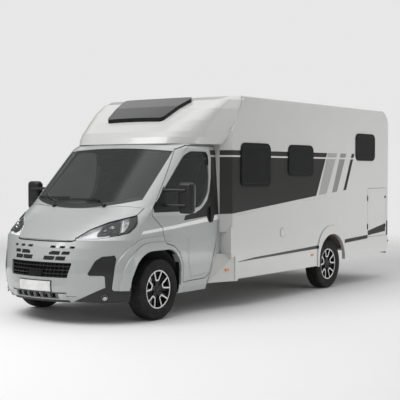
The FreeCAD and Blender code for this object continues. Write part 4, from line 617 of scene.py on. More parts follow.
def spokeBar(kind, centre, side, turn):
    # a bar along (across, radius) points turned round the hub; its face sinks towards the hub
    path, count, out, sink, width, depth = rim["bars"][kind]
    across, up = evenPath(rim[path], count).T
    cosine, sine = math.cos(math.radians(turn)), math.sin(math.radians(turn))
    points = stacked(centre[0] + side * (out - sink * (1 - up / rim["radius"])),
                     centre[1] + side * (across * cosine + up * sine),
                     centre[2] + (up * cosine - across * sine))
    return sweep(points, flatBar(width, depth), (side, 0, 0))


def spokeParts(centre, side):
    # five V loops with bright faces on black bars, black stems and ribs, and the wheel nuts
    black, bright, step = [], [], 360.0 / rim["spokes"]
    for turn in np.arange(rim["spokes"]) * step:
        black += [spokeBar("loop", centre, side, turn), spokeBar("stem", centre, side, turn)]
        bright.append(spokeBar("face", centre, side, turn))
        between = turn + step / 2
        black += [spokeBar("rib", centre, side, between + lean)
                  for lean in (-rim["ribLean"], rim["ribLean"])]
        nut = math.radians(between)
        place = centre + rim["nutCircle"] * np.array((0, side * math.sin(nut), math.cos(nut)))
        black.append(rimRing("nut", place, side))
    return black, bright


for name, (across, station) in wheels.items():
    side, centre = int(math.copysign(1, across)), spot(across, station, wheelHeight)
    label, body = name.replace("_", ""), name + "_wheel"
    addPiece("tyre" + label, [tyreParts(centre, side)], "tyre", None, body, ["tyre_" + name])
    black, bright = spokeParts(centre, side)
    black += [rimRing("barrel", centre, side), rimRing("dish", centre, side)]
    bright.append(rimRing("lip", centre, side))
    addPiece("rimSpokes" + label, black, "alloy", None, body, ["rim_" + name])
    addPiece("rimEdges" + label, bright, "alloy", brightMetal, body)
    addPiece("rimCap" + label, [rimRing("cap", centre, side)], "alloy", looks["dark_trim"], body)
print("wheels made")


headlamp = {
    "turn": 40.0, "inner": 0.489, "run": 0.708, "low": 0.985, "rise": 0.260,
    "lowEdge": ((0.0, 0.0), (0.10, 0.0), (0.37, 0.015), (0.66, 0.13), (0.86, 0.26), (0.96, 0.50),
                (1.0, 0.72)),
    "highEdge": ((0.0, 0.015), (0.24, 0.375), (0.54, 0.695), (0.80, 0.86), (1.0, 0.985)),
    "lens": 0.004, "wall": 0.006, "bowlDepth": 0.060, "columns": 48, "rows": 14,
    "surround": (((0.55, 0.095), (0.66, 0.135), (0.80, 0.22), (0.86, 0.28), (0.955, 0.52),
                  (0.985, 0.74), (0.985, 0.955)),
                 ((0.56, 0.155), (0.65, 0.185), (0.785, 0.30), (0.84, 0.50), (0.868, 0.68),
                  (0.878, 0.84), (0.90, 0.905))),
    "module": (((0.345, 0.13), (0.483, 0.145), (0.655, 0.21), (0.715, 0.27)),
               ((0.352, 0.20), (0.455, 0.53), (0.630, 0.69), (0.735, 0.76))),
    "brow": (((0.30, 0.42), (0.54, 0.655), (0.80, 0.825), (0.96, 0.925)),
             ((0.30, 0.445), (0.54, 0.685), (0.80, 0.855), (0.96, 0.955))),
    "fin": (((0.742, 0.27), (0.765, 0.77)), ((0.758, 0.275), (0.781, 0.775))),
    "projectors": ((0.595, 0.44, 0.027), (0.478, 0.32, 0.017), (0.815, 0.56, 0.020)),
    # lift under the skin, depth, columns and rows of each ruled sheet
    "sheets": {"surround": (-0.0045, 0.012, 30, 5), "module": (-0.012, 0.03, 24, 8),
               "brow": (-0.0045, 0.010, 30, 5), "fin": (-0.008, 0.010, 12, 3)},
    "ring": ((-0.010, 1.0), (-0.007, 0.92), (-0.020, 0.62), (-0.022, 0.62), (-0.016, 1.02)),
    "globe": ((-0.022, 0.0), (-0.010, 0.0), (-0.011, 0.34), (-0.016, 0.56), (-0.022, 0.60)),
    "inset": 0.006, "thinnest": 0.004, "bowlSlopes": (3.0, 4, 12), "search": (-0.7, 0.9),
    "halvings": 32,
    # the seal runs round the lamp's top and outer end, and a few points along its foot
    "seal": (0.011, 0.007), "sealLift": 0.001, "sealFoot": 17,
    "sealPlaces": (0, 46, 60, 74), "sealWidths": (0.7, 1.0, 1.5, 1.0),
}


def lampPoints(along, height, lift, sign):
    # skin points seen square to the lamp's plane, found by halving, moved out along its axis
    turn = math.radians(headlamp["turn"])
    cosine, sine = math.cos(turn), math.sin(turn)

    def place(reach):
        return along * cosine + reach * sine, along * sine - reach * cosine
    low, high = [np.full(along.shape, end) for end in headlamp["search"]]
    for _ in range(headlamp["halvings"]):
        reach = (low + high) / 2
        side, station = place(reach)
        outside = cabFront(side, height) > station
        low, high = np.where(outside, low, reach), np.where(outside, reach, high)
    side, station = place(high + lift)
    return stacked(sign * side, toY(station), height)


def lampPlace(along, up):
    # shares of the lamp's length and height as a distance along it and a height
    return headlamp["inner"] + headlamp["run"] * along, headlamp["low"] + headlamp["rise"] * up


def lampGrid():
    # the lamp's outline as a grid: shares along it, and between its lower and upper edges
    inset = headlamp["inset"]
    share = np.linspace(inset * 0.4, 1 - inset, headlamp["columns"])
    bottom = np.interp(share, *np.array(headlamp["lowEdge"]).T) + inset
    top = np.maximum(np.interp(share, *np.array(headlamp["highEdge"]).T) - inset,
                     bottom + headlamp["thinnest"])
    up = np.linspace(0, 1, headlamp["rows"])[:, None]
    return np.broadcast_arrays(*lampPlace(share, bottom + (top - bottom) * up))


def ruled(lower, upper, columns, rows):
    # two grids, along and up, of points between two lines
    low, high = evenPath(lower, columns), evenPath(upper, columns)
    share = np.linspace(0, 1, rows)[:, None, None]
    return np.moveaxis(low[None] + (high - low)[None] * share, -1, 0)


def lampSheet(along, height, outer, inner, sign):
    return sheetBetween(lampPoints(along, height, outer, sign),
                        lampPoints(along, height, inner, sign))


def lampLines(shape, sign):
    # a closed sheet under the lens, ruled between two lines of (along, height) shares
    lift, depth, columns, rows = headlamp["sheets"][shape]
    along, height = lampPlace(*ruled(*headlamp[shape], columns, rows))
    return lampSheet(along, height, lift, lift - depth, sign)


def turned(profile, centre, axis, sides=36):
    # a closed profile of (out, radius) carried round any axis
    profile, axis = np.asarray(profile, float), np.asarray(axis, float)
    axis = axis / np.linalg.norm(axis)
    first = np.cross(axis, (0.0, 0.0, 1.0))
    first /= np.linalg.norm(first)
    second = np.cross(axis, first)
    angle = np.linspace(0, 2 * math.pi, sides, endpoint=False)[:, None, None]
    ring = first * np.cos(angle) + second * np.sin(angle)
    points = np.asarray(centre) + profile[None, :, :1] * axis + profile[None, :, 1:] * ring
    return points, gridFaces(sides, len(profile), True, True)


def headlampParts(sign):
    # a thin lens, a bowl that sinks by the root of the distance from its edge, the black
    # surround at its outer end, and a dark module with lights
    along, height = lampGrid()
    up = np.linspace(0, 1, headlamp["rows"])[:, None]
    share = np.linspace(0, 1, headlamp["columns"])[None]
    rise, inner, outer = headlamp["bowlSlopes"]
    edge = np.minimum(np.minimum(up, 1 - up) * rise,
                      np.minimum(share * inner, (1 - share) * outer))
    sink = -headlamp["wall"] - headlamp["bowlDepth"] * np.clip(edge, 0, 1) ** 0.5
    made = {"lens": [lampSheet(along, height, 0.0, -headlamp["lens"], sign)],
            "bowl": [lampSheet(along, height, sink, sink - headlamp["wall"], sign)],
            "dark": [lampLines(shape, sign) for shape in ("surround", "module", "brow")],
            "chrome": [lampLines("fin", sign)], "bulb": []}
    turn = math.radians(headlamp["turn"])
    axis = (sign * math.sin(turn), -math.cos(turn), 0.0)
    for middle, rise, radius in headlamp["projectors"]:
        place = lampPoints(*map(np.atleast_1d, lampPlace(middle, rise)), 0.0, sign)[0]
        for part, profile in (("chrome", "ring"), ("bulb", "globe")):
            made[part].append(turned(np.array(headlamp[profile]) * (1, radius), place, axis))
    grid = stacked(along, height)
    foot = grid[0, -2:-headlamp["sealFoot"]:-1]
    outline = np.concatenate([grid[-1], grid[-2::-1, -1], foot])
    width = np.interp(np.arange(len(outline)), headlamp["sealPlaces"], headlamp["sealWidths"])
    path = lampPoints(*outline.T, headlamp["sealLift"], sign)[:, None]
    points, faces = sweep(path[:, 0], flatBar(*headlamp["seal"]), axis)
    made["seal"] = [(path + (points - path) * width[:, None, None], faces)]
    return made


fogLamp = {
    "place": (0.788, 0.338, 0.327), "axis": (0.60, -0.80), "radius": 0.034,
    "lens": ((0.0, 0.0), (0.006, 0.0), (0.005, 0.6), (0.001, 0.98), (0.0, 0.98)),
    "chrome": ((-0.030, 0.0), (-0.028, 0.25), (-0.020, 0.70), (-0.002, 1.0), (0.004, 1.06),
               (-0.004, 1.10), (-0.032, 0.74), (-0.034, 0.0)),
    "bulb": ((-0.024, 0.0), (-0.006, 0.0), (-0.008, 0.42), (-0.014, 0.66), (-0.024, 0.68)),
    "seal": ((-0.004, 1.10), (0.005, 1.07), (0.007, 1.22), (0.002, 1.34), (-0.004, 1.34)),
}
lampPieces = {"lens": ("lampLenses", looks["lamp"]), "bowl": ("lampBowls", bowlReflectionGrey),
              "chrome": ("lampReflectors", chrome), "dark": ("lampModules", looks["acrylic"]),
              "bulb": ("lampBulbs", whitePlate), "seal": ("lampSeals", looks["dark_trim"])}
groups = {part: [] for part in lampPieces}
for sign in (1, -1):
    for part, made in headlampParts(sign).items():
        groups[part] += made
    place = spot(*fogLamp["place"]) * (sign, 1, 1)
    axis = (sign * fogLamp["axis"][0], fogLamp["axis"][1], 0.0)
    for part in ("lens", "chrome", "bulb", "seal"):
        profile = np.array(fogLamp[part]) * (1, fogLamp["radius"])
        groups[part].append(turned(profile, place, axis))
for part, (name, material) in lampPieces.items():
    addPiece(name, groups[part], "lamp", material,
             replaced=["front_lamps"] if part == "lens" else ())
print("lamps made")


nose = {
    # patches of the skin: sides, heights, columns and rows, and the sheet's two lifts
    "plate": ((-0.245, 0.245), (0.387, 0.501), (24, 8), (0.011, 0.004)),
    "plateFrame": ((-0.255, 0.255), (0.377, 0.511), (24, 8), (0.008, 0.0005)),
    "centreBar": ((-0.105, 0.105), (0.548, 0.632), (12, 6), (-0.002, -0.030)),
    "badge": ((-0.12075, 0.12075), (0.6198, 0.6358), (12, 3), (0.003, -0.020)),
    "lip": ((-0.44, 0.44), (0.262, 0.288), (30, 4), (0.004, -0.003)),
    "intakeEnd": ((0.335, 0.430), (0.292, 0.362), (8, 6), (0.004, -0.003)),
    "intakeCover": ((0.432, 0.590), (0.280, 0.392), (10, 6), (0.002, -0.003)),
    # painted shade: the black sheets over the slots, as sides and heights
    "slots": (((0.154, 0.302), (0.801, 0.829)), ((0.332, 0.421), (0.806, 0.831)),
              ((0.092, 0.250), (0.750, 0.785)), ((0.280, 0.396), (0.749, 0.785))),
    "slotSheet": ((6, 3), (0.0015, -0.002)),
    "seam": ((-0.455, 0.968), (-0.430, 0.956), (-0.373, 0.951), (-0.053, 0.948), (0.053, 0.948),
             (0.373, 0.951), (0.430, 0.956), (0.455, 0.968)),
    "seamWidth": 0.013, "seamLifts": (0.0015, -0.004), "seamCount": 60,
    # sheets on the corners: the two lines that each is ruled between
    "cornerCounts": (28, 8), "coverLifts": (0.002, -0.003), "insertLifts": (0.003, -0.004),
    "insertCover": (((0.500, 0.272), (0.649, 0.352), (0.815, 0.428)),
                    ((0.500, 0.370), (0.600, 0.425), (0.815, 0.470))),
    "insertUpper": (((0.631, 0.590), (0.651, 0.575), (0.802, 0.572), (0.845, 0.550)),
                    ((0.633, 0.602), (0.712, 0.736), (0.752, 0.766), (0.845, 0.788))),
    "insertStem": (((0.842, 0.425), (0.842, 0.600), (0.842, 0.789)),
                   ((0.898, 0.438), (0.956, 0.765), (0.935, 0.803))),
    "insertFoot": (((0.474, 0.271), (0.647, 0.262), (0.880, 0.250), (1.103, 0.259)),
                   ((0.476, 0.275), (0.649, 0.360), (0.821, 0.435), (0.898, 0.444),
                    (0.935, 0.398), (1.053, 0.397), (1.130, 0.402))),
}


def skinPatch(sides, heights, counts, lifts, sign=1):
    # a closed sheet over a grid of sides and heights on the cab's skin
    grid = np.meshgrid(sign * np.linspace(*sides, counts[0]), np.linspace(*heights, counts[1]))
    return sheetBetween(*[cabPoints(*grid, lift) for lift in lifts])


def cornerPatch(shape, lifts, sign):
    # a closed sheet on the bumper's corner, ruled between two lines seen square to the lamp plane
    return lampSheet(*ruled(*nose[shape], *nose["cornerCounts"]), *lifts, sign)


addPiece("numberPlate", [skinPatch(*nose["plate"])], "dark_trim", whitePlate)
addPiece("numberPlateFrame", [skinPatch(*nose["plateFrame"])], "dark_trim")
patches, slots, covers, ends = [], [], [], []
for sign in (1, -1):
    covers += [cornerPatch("insertCover", nose["coverLifts"], sign),
               skinPatch(*nose["intakeCover"], sign)]
    patches += [cornerPatch(shape, nose["insertLifts"], sign)
                for shape in ("insertUpper", "insertStem", "insertFoot")]
    slots += [skinPatch(*place, *nose["slotSheet"], sign) for place in nose["slots"]]
    ends.append(skinPatch(*nose["intakeEnd"], sign))
side, height = evenPath(nose["seam"], nose["seamCount"]).T
line = side, height + np.array([-0.5, 0.5])[:, None] * nose["seamWidth"]
slots.append(sheetBetween(*[cabPoints(*line, lift) for lift in nose["seamLifts"]]))
addPiece("bumperInserts", patches, "dark_trim")
# painted shade over the slots, and the dark joint along the bonnet's edge
addPiece("bumperSlotShadesAndSeam", slots, "dark_trim", slotShadeAndSeamBlack)
addPiece("bumperCovers", covers, "cab_paint")
addPiece("intakeLip", [skinPatch(*nose["lip"])], "dark_trim")
addPiece("intakeEnds", ends, "silver_trim")
addPiece("grilleCentre", [skinPatch(*nose["centreBar"]), skinPatch(*nose["badge"])], "dark_trim",
         looks["acrylic"])
print("nose made")


wipers = {
    "arms": (((0.455, 1.345), (0.36, 1.392), (0.20, 1.418)),
             ((-0.335, 1.330), (-0.405, 1.385), (-0.56, 1.425))),
    "blades": (((0.34, 1.408), (-0.02, 1.412), (-0.36, 1.400)),
               ((-0.20, 1.430), (-0.50, 1.426), (-0.80, 1.436))),
    "armProud": 0.026, "armBar": (0.018, 0.010), "bladeProud": 0.012,
    "bladeBar": (0.016, 0.018), "spindle": ((0.022, 0.022, 0.020), 0.012), "spindleProud": 0.010,
    "armCount": 14, "bladeCount": 26,
}


def wiperParts():
    # each arm a flat bar from its spindle to the blade, the blade a rubber strip on the glass
    parts = []
    for arm, blade in zip(wipers["arms"], wipers["blades"]):
        for kind, line in (("arm", arm), ("blade", blade)):
            path = evenPath(line, wipers[kind + "Count"])
            parts.append(sweep(cabPoints(*path.T, wipers[kind + "Proud"]),
                               flatBar(*wipers[kind + "Bar"]), (0, -1, 0)))
        parts.append(softBox(cabPoints(*arm[0], wipers["spindleProud"]), *wipers["spindle"]))
    return parts


addPiece("wipers", wiperParts(), "dark_trim")


mirror = {
    "centre": (1.262, 1.260, 1.440), "half": (0.100, 0.056, 0.185), "edge": (0.044, 8),
    "glass": ((0.035, (0.084, 0.004, 0.120)), (-0.130, (0.084, 0.004, 0.032))),
    "glassRadius": 0.003, "arms": (1.352, 1.532), "armBar": (0.0175, 12), "armCount": 16,
    "footStation": 1.196, "baseColumns": 6,
    # the arms' inner points as side from the skin and station from the foot, outer from the centre
    "armFoot": ((-0.010, 0.0), (0.030, -0.012)), "armHead": ((-0.02, -0.060), (0.02, -0.052)),
    "base": (0.001, -0.014), "baseRear": 1.208,
    "baseRows": ((1.270, 0.990), (1.310, 0.994), (1.340, 1.008), (1.400, 1.055), (1.470, 1.110),
                 (1.540, 1.166), (1.575, 1.194)),
}


def mirrorParts(sign):
    # a rounded housing on two arms from a sheet that fills the window's front corner
    side, station, height = mirror["centre"]
    flip = (sign, 1, 1)
    dark = [softBox(spot(side, station, height) * flip, mirror["half"], *mirror["edge"])]
    rows = np.array(mirror["baseRows"])
    share = np.linspace(0, 1, mirror["baseColumns"])
    stations = rows[:, 1:] + (mirror["baseRear"] - rows[:, 1:]) * share
    skin = cabSide(stations, rows[:, :1])
    dark.append(sheetBetween(*[stacked(sign * (skin + lift), toY(stations), rows[:, :1])
                               for lift in mirror["base"]]))
    for armHeight in mirror["arms"]:
        rear = mirror["footStation"]
        foot = cabSide(rear, armHeight)
        path = evenPath([(foot + out, rear + back, armHeight) for out, back in mirror["armFoot"]]
                        + [(side + out, station + back, armHeight)
                           for out, back in mirror["armHead"]], mirror["armCount"])
        path = stacked(sign * path[:, 0], toY(path[:, 1]), path[:, 2])
        dark.append(sweep(path, roundBar(*mirror["armBar"])))
    glass = [softBox(spot(side, station + mirror["half"][1], height + up) * flip, half,
                     mirror["glassRadius"]) for up, half in mirror["glass"]]
    return dark, glass


handle = {
    "place": (2.115, 1.219), "half": (0.080, 0.114), "grip": ((0.014, 0.026, 0.092), 0.012, 6),
    "gripPlace": (0.020, -0.006), "leanSpan": 0.1, "turns": 48,
    "profile": ((-0.004, 0.0), (-0.004, 1.0), (0.003, 1.0), (0.007, 0.95), (0.007, 0.84),
                (0.002, 0.78), (0.001, 0.0)),
}


def handleParts(sign):
    # an oval plate with a raised rim round its recess, leaning with the door, and an upright grip
    station, height = handle["place"]
    out = cabSide(station, height)
    points, faces = turned(handle["profile"], (0, 0, 0), (sign, 0, 0), handle["turns"])
    span = handle["leanSpan"]
    lean = (cabSide(station, height + span) - out) / span
    points = points * (1, *handle["half"])
    points[..., 0] += sign * points[..., 2] * lean
    proud, drop = handle["gripPlace"]
    return [(points + spot(sign * out, station, height), faces),
            softBox(spot(sign * (out + proud), station, height + drop), *handle["grip"])]


for sign, label in ((1, "left"), (-1, "right")):
    dark, glass = mirrorParts(sign)
    door = label + "_cab_door"
    addPiece("doorMirror" + label, dark, "dark_trim", None, door, ["door_mirror_" + label])
    addPiece("mirrorGlass" + label, glass, "dark_trim", chrome, door)
    addPiece("doorHandle" + label, handleParts(sign), "dark_trim", None, door)
print("mirrors and handles made")


flank = {
    "plane": 1.160,
    # front, low, rear and high; the first is on the left side alone
    "windows": ((2.560, 1.553, 3.270, 2.122), (3.748, 1.688, 4.436, 2.120),
                (5.787, 1.926, 6.444, 2.341)),
    "corner": 0.085, "pane": (0.002, 0.0185), "seal": (0.006, (0.012, 0.010)),
    "border": 0.045, "borderCorner": 0.050, "borderLine": (0.0190, (0.006, 0.002)),
    # radius and rise of both discs, and their profile in shares of rise and radius
    "filler": (3.600, 0.911), "fillerDiscs": ((0.064, 0.003), (0.060, 0.006)), "discTurns": 40,
    "disc": ((0.0, 0.0), (0.0, 1.0), (0.6, 1.0), (1.0, 0.94), (1.0, 0.0)),
    # places, half sizes and edge radius of the small boxes
    "ambers": (((1.114, 2.321, 0.494), (1.164, 4.418, 0.539)), (0.012, 0.034, 0.016), 0.008),
    "block": (((1.128, 2.370, 0.672),), (0.030, 0.024, 0.032), 0.006),
    "hinges": (((1.166, 6.212, 1.320), (1.166, 6.212, 0.870)), (0.007, 0.011, 0.045), 0.006),
    "locks": (((1.163, 6.857, 1.333), (1.163, 6.857, 0.86)), (0.006, 0.016, 0.020), 0.005),
}


def flankLoop(loop, out, sign):
    # an outline of stations and heights as points that stand off the flank
    return stacked(sign * (flank["plane"] + out), toY(loop[:, 0]), loop[:, 1])


def flankPlate(loop, low, high, sign):
    # a flat plate with the given outline, standing off the flank
    count = len(loop)
    faces = gridFaces(2, count, False, True).tolist()
    return (np.stack([flankLoop(loop, out, sign) for out in (low, high)]),
            faces + [list(range(count)), list(range(count, 2 * count))])


def flankBead(loop, line, sign):
    # a narrow bar along an outline
    out, bar = line
    return sweep(flankLoop(loop, out, sign), flatBar(*bar), (1, 0, 0), True)


def flankDisc(radius, rise, sign):
    # a low round cover on a flat flank
    return lathe(np.array(flank["disc"]) * (rise, radius),
                 spot(sign * flank["plane"], *flank["filler"]), flank["discTurns"], sign)


frames, seams, ambers, fittings, panes = [], [], [], [], []
for sign in (1, -1):
    border = flank["border"]
    for front, low, back, high in flank["windows"][0 if sign > 0 else 1:]:
        loop = roundedLoop((front, low), (back, high), flank["corner"])
        inner = roundedLoop((front + border, low + border), (back - border, high - border),
                            flank["borderCorner"])
        panes.append(flankPlate(loop, *flank["pane"], sign))
        frames += [flankBead(loop, flank["seal"], sign),
                   flankBead(inner, flank["borderLine"], sign)]
    ambers += softBoxes(*flank["ambers"], sign)
    fittings += softBoxes(*flank["block"], sign)
    if sign > 0:
        for group, disc in zip((seams, fittings), flank["fillerDiscs"]):
            group.append(flankDisc(*disc, sign))
    frames += softBoxes(*flank["hinges"], sign) + softBoxes(*flank["locks"], sign)
addPiece("windowPanes", panes, "acrylic")
addPiece("windowSeals", frames, "dark_trim")
addPiece("fillerSeam", seams, "dark_trim")
addPiece("fillerCap", fittings, "body_panel")
addPiece("sideMarkers", ambers, "tail_lamp", amber)
print("flank fittings made")


roofParts = {
    "lights": ((0.300, 4.420), (0.300, 5.640)), "foot": 2.756, "half": 0.240, "rise": 0.068,
    "sink": 0.004, "count": 24,
    "rims": (((0.300, 4.420, 2.750), (0.300, 5.640, 2.750)), (0.250, 0.250, 0.014), 0.010),
}


def dome(centre):
    # a lid whose height is (1 - r^12)^0.35 of its rise, where r^6 is the sum of both shares' ^6
    half, foot = roofParts["half"], roofParts["foot"]
    share = np.linspace(-1, 1, roofParts["count"])
    across, along = np.meshgrid(share, share, indexing="ij")
    reach = (across ** 6 + along ** 6) ** (1 / 6)
    height = foot + roofParts["rise"] * np.clip(1 - reach ** 12, 0, 1) ** 0.35
    scale = np.minimum(1, 1 / np.maximum(reach, 1e-6))
    top = stacked(centre[0] + across * scale * half, toY(centre[1]) + along * scale * half,
                  height)
    return sheetBetween(top, stacked(top[..., 0], top[..., 1], foot - roofParts["sink"]))


addPiece("roofLightRims", softBoxes(*roofParts["rims"]), "silver_trim", looks["body_panel"],
         replaced=["roof_vents"])
addPiece("roofLightDomes", [dome(place) for place in roofParts["lights"]], "acrylic")
print("roof lights made")


rear = {
    "corners": (((1.112, 6.970, 2.378),), (0.034, 0.018, 0.062), 0.012),
    "markers": (((1.160, 6.962, 0.600),), (0.007, 0.020, 0.018), 0.006),
}
addPiece("rearCornerMarkers", softBoxes(*rear["corners"], 1, -1), "dark_trim")
addPiece("rearSideMarkers", softBoxes(*rear["markers"], 1, -1), "tail_lamp")
print("rear made")


seats = {
    "sides": (0.450, -0.450),
    "pads": (((0.0, 1.755, 0.953), (0.170, 0.238, 0.052), 0.048),
             ((0.185, 1.755, 0.962), (0.048, 0.236, 0.056), 0.046),
             ((-0.185, 1.755, 0.962), (0.048, 0.236, 0.056), 0.046),
             ((0.0, 1.948, 1.325), (0.165, 0.050, 0.310), 0.048),
             ((0.182, 1.936, 1.300), (0.046, 0.056, 0.275), 0.045),
             ((-0.182, 1.936, 1.300), (0.046, 0.056, 0.275), 0.045),
             ((0.0, 1.955, 1.745), (0.112, 0.044, 0.085), 0.042)),
    "voxel": 0.010, "pressure": 4.0, "frames": 20, "cap": 0.010,
    "seams": (0.128, -0.128), "crossSeams": (1.50, 1.14), "seamWidth": 0.006, "seamDepth": 0.006,
    "bases": (((0.450, 1.760, 0.760),), (0.190, 0.190, 0.120), 0.03),
}


def padded(name, parts, slot, replaced=()):
    # joined forms remeshed as one skin, swollen by cloth pressure and held within a cap
    pad = addPiece(name, parts, slot, replaced=replaced, sharpAngle=180.0)
    remesh = pad.modifiers.new("skin", "REMESH")
    remesh.mode = "VOXEL"
    remesh.voxel_size = seats["voxel"]
    applyModifier(pad, remesh)
    before = pointsOf(pad.data)
    cloth = pad.modifiers.new("swelling", "CLOTH")
    cloth.settings.use_pressure = True
    cloth.settings.uniform_pressure_force = seats["pressure"]
    cloth.settings.effector_weights.gravity = 0.0
    cloth.point_cache.frame_end = seats["frames"]
    for step in range(1, seats["frames"] + 1):
        scene.frame_set(step)
    applyModifier(pad, cloth)
    scene.frame_set(1)
    move = pointsOf(pad.data) - before
    length = np.linalg.norm(move, axis=1, keepdims=True)
    move *= np.minimum(1.0, seats["cap"] / np.maximum(length, 1e-9))
    writePoints(pad.data, before + move)
    divide = pad.modifiers.new("finer", "SUBSURF")
    divide.levels = divide.render_levels = 1
    applyModifier(pad, divide)
    return pad


def pointsOf(mesh):
    flat = np.empty(len(mesh.vertices) * 3)
    mesh.vertices.foreach_get("co", flat)
    return flat.reshape(-1, 3)


def writePoints(mesh, points):
    mesh.vertices.foreach_set("co", points.ravel())
    mesh.update()


def applyModifier(piece, modifier):
    with bpy.context.temp_override(object=piece, active_object=piece):
        bpy.ops.object.modifier_apply(modifier=modifier.name)


def seamDips(values, places):
    # a bell curve of depth shares round each place
    return sum(np.exp(-((values - place) / seats["seamWidth"]) ** 2) for place in places)


def seatSeams(pad, side):
    # sewn channels: points near a seam's plane sink along their normals by a bell curve
    mesh = pad.data
    points = pointsOf(mesh)
    normals = np.empty(len(mesh.vertices) * 3)
    mesh.vertex_normals.foreach_get("vector", normals)
    across = points[:, 0] - side
    sink = np.maximum(seamDips(across, seats["seams"]),
                      seamDips(points[:, 2], seats["crossSeams"])
                      * (np.abs(across) < seats["seams"][0]))
    writePoints(mesh, points - normals.reshape(-1, 3) * (sink * seats["seamDepth"])[:, None])
    mesh.shade_smooth()


for label, side in zip("LR", seats["sides"]):
    pads = [softBox(spot(side + across, station, height), half, radius)
            for (across, station, height), half, radius in seats["pads"]]
    pad = padded("seatPad" + label, pads, "cloth", ["cab_seats"] if label == "L" else ())
    seatSeams(pad, side)
addPiece("seatBases", softBoxes(*seats["bases"], 1, -1), "interior")
print("seats made")


cabin = {
    "screen": (((0.0, 1.335, 1.215),), (0.115, 0.012, 0.070), 0.0096),
    "hood": (((0.450, 1.300, 1.245),), (0.170, 0.090, 0.030), 0.024),
    "vents": (((0.790, 1.405, 1.170), (0.190, 1.420, 1.170), (-0.190, 1.420, 1.170),
               (-0.790, 1.405, 1.170)), (0.055, 0.035, 0.030), 0.012),
}
addPiece("dashDetails", [box for boxes in cabin.values() for box in softBoxes(*boxes)],
         "interior")
print("cabin made")


studio = {
    "floorColour": (0.80, 0.80, 0.80), "floorHaze": 0.98, "hazeScale": 0.25,
    "floorHalf": 60.0, "floorFade": (6.5, 15.0),
    "worldLight": 0.58, "backdrop": 0.80, "throughLens": 0.4,
    "hall": 0.17, "ceiling": 0.80, "ceilingEdge": (0.80, 0.87),
    "endWall": 0.85, "wallSide": (0.26, 0.40), "wallFoot": (0.30, 0.50),
    # place, target, size, power and whether mirrors show it
    "lamps": {"keyLamp": ((-1.5, -8.0, 9.0), (0.0, -2.3, 1.2), (9.0, 6.0), 880.0, True),
              "lowLamp": ((6.5, 3.6, 0.6), (1.1, 3.0, 0.7), (6.0, 1.0), 215.0, False),
              "topLamp": ((1.5, 1.0, 8.0), (0.0, 0.5, 0.0), (5.0, 9.0), 90.0, True)},
    "cameraPlace": (8.10, -11.345, 1.762), "farthest": 200.0,
    "yaw": 36.1, "pitch": 1.73, "focal": 966.0, "imageWidth": 400.0, "sensor": 36.0,
}


def makeStage():
    # a wide pale floor that fades out with distance into the plain backdrop
    across = np.linspace(-studio["floorHalf"], studio["floorHalf"], 3)
    points = stacked(across[:, None], across, 0.0).reshape(-1, 3)
    floorMesh = bpy.data.meshes.new("studioFloor")
    floorMesh.from_pydata(points.tolist(), [], gridFaces(3, 3)[:, ::-1].tolist())
    floor = bpy.data.objects.new("studioFloor", floorMesh)
    scene.collection.objects.link(floor)
    material = newMaterial("studioFloorPaint", Roughness=0.55)
    tree = material.node_tree
    haze = spread(tree, noise(tree, studio["hazeScale"], 3.0), 0.0, 1.0)
    shade(tree, "Base Color", mixColour(tree, haze, studio["floorColour"],
                                        tinted(studio["floorColour"], studio["floorHaze"])))
    place = addNode(tree, "TexCoord").outputs["Object"]
    distance = addNode(tree, "VectorMath", {0: place}, operation="LENGTH").outputs["Value"]
    shade(tree, "Alpha", remap(tree, distance, *studio["floorFade"], 1.0, 0.0, "SMOOTHSTEP"))
    floorMesh.materials.append(material)


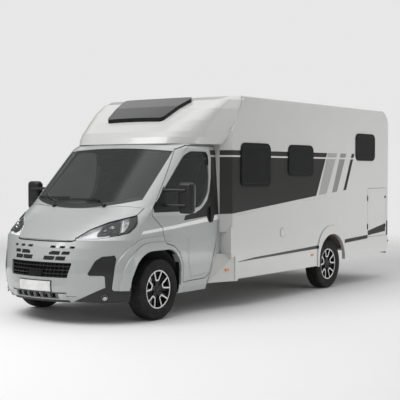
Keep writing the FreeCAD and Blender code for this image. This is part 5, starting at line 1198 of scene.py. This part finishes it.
def makeWorld():
    # one level for the camera, an even one for diffuse rays, and for mirrors a dim hall with
    # a pale ceiling and a pale end wall high up behind the vehicle
    world = bpy.data.worlds.new("studioWorld")
    world.use_nodes = True
    tree = world.node_tree
    path = addNode(tree, "LightPath").outputs
    ahead = addNode(tree, "TexCoord").outputs["Generated"]
    parts = addNode(tree, "SeparateXYZ", {0: ahead}).outputs

    def rising(direction, span):
        return remap(tree, parts[direction], *studio[span], shape="SMOOTHSTEP")

    ceiling = sums(tree, "MULTIPLY", rising("Z", "ceilingEdge"), studio["ceiling"])
    wall = sums(tree, "MULTIPLY", rising("Y", "wallSide"),
                sums(tree, "MULTIPLY", rising("Z", "wallFoot"), studio["endWall"]))
    mirrored = sums(tree, "ADD", sums(tree, "MAXIMUM", ceiling, wall), studio["hall"])
    seen = sums(tree, "MAXIMUM", path["Is Camera Ray"],
                sums(tree, "MULTIPLY", path["Is Transmission Ray"], studio["throughLens"]))
    level = sums(tree, "ADD", sums(tree, "MULTIPLY", seen, studio["backdrop"]),
                 sums(tree, "MULTIPLY", path["Is Glossy Ray"], mirrored))
    plain = sums(tree, "SUBTRACT", 1.0, sums(tree, "MAXIMUM", path["Is Camera Ray"],
                                             path["Is Glossy Ray"]), clamp=True)
    background = tree.nodes["Background"].inputs
    feed(tree, background["Color"], (1.0, 1.0, 1.0))
    feed(tree, background["Strength"],
         sums(tree, "ADD", level, sums(tree, "MULTIPLY", plain, studio["worldLight"])))
    scene.world = world


def addLamp(name, place, target, size, power, mirrored):
    lamp = bpy.data.lights.new(name, "AREA")
    lamp.shape = "RECTANGLE"
    lamp.size, lamp.size_y = size
    lamp.energy = power
    holder = bpy.data.objects.new(name, lamp)
    holder.location = place
    holder.visible_glossy = mirrored
    holder.rotation_euler = (Vector(target) - Vector(place)).to_track_quat("-Z", "Y").to_euler()
    scene.collection.objects.link(holder)


def makeCamera():
    lens = bpy.data.cameras.new("photoCamera")
    lens.sensor_width = studio["sensor"]
    lens.lens = studio["focal"] / studio["imageWidth"] * studio["sensor"]
    lens.clip_end = studio["farthest"]
    yaw, pitch = math.radians(studio["yaw"]), math.radians(studio["pitch"])
    ahead = Vector((-math.sin(yaw) * math.cos(pitch), math.cos(yaw) * math.cos(pitch),
                    -math.sin(pitch)))
    camera = bpy.data.objects.new("photoCamera", lens)
    camera.location = studio["cameraPlace"]
    camera.rotation_euler = ahead.to_track_quat("-Z", "Y").to_euler()
    scene.collection.objects.link(camera)
    scene.camera = camera


makeStage()
makeWorld()
for name, settings in studio["lamps"].items():
    addLamp(name, *settings)
makeCamera()
scene.view_settings.view_transform = "Standard"
print("studio ready")
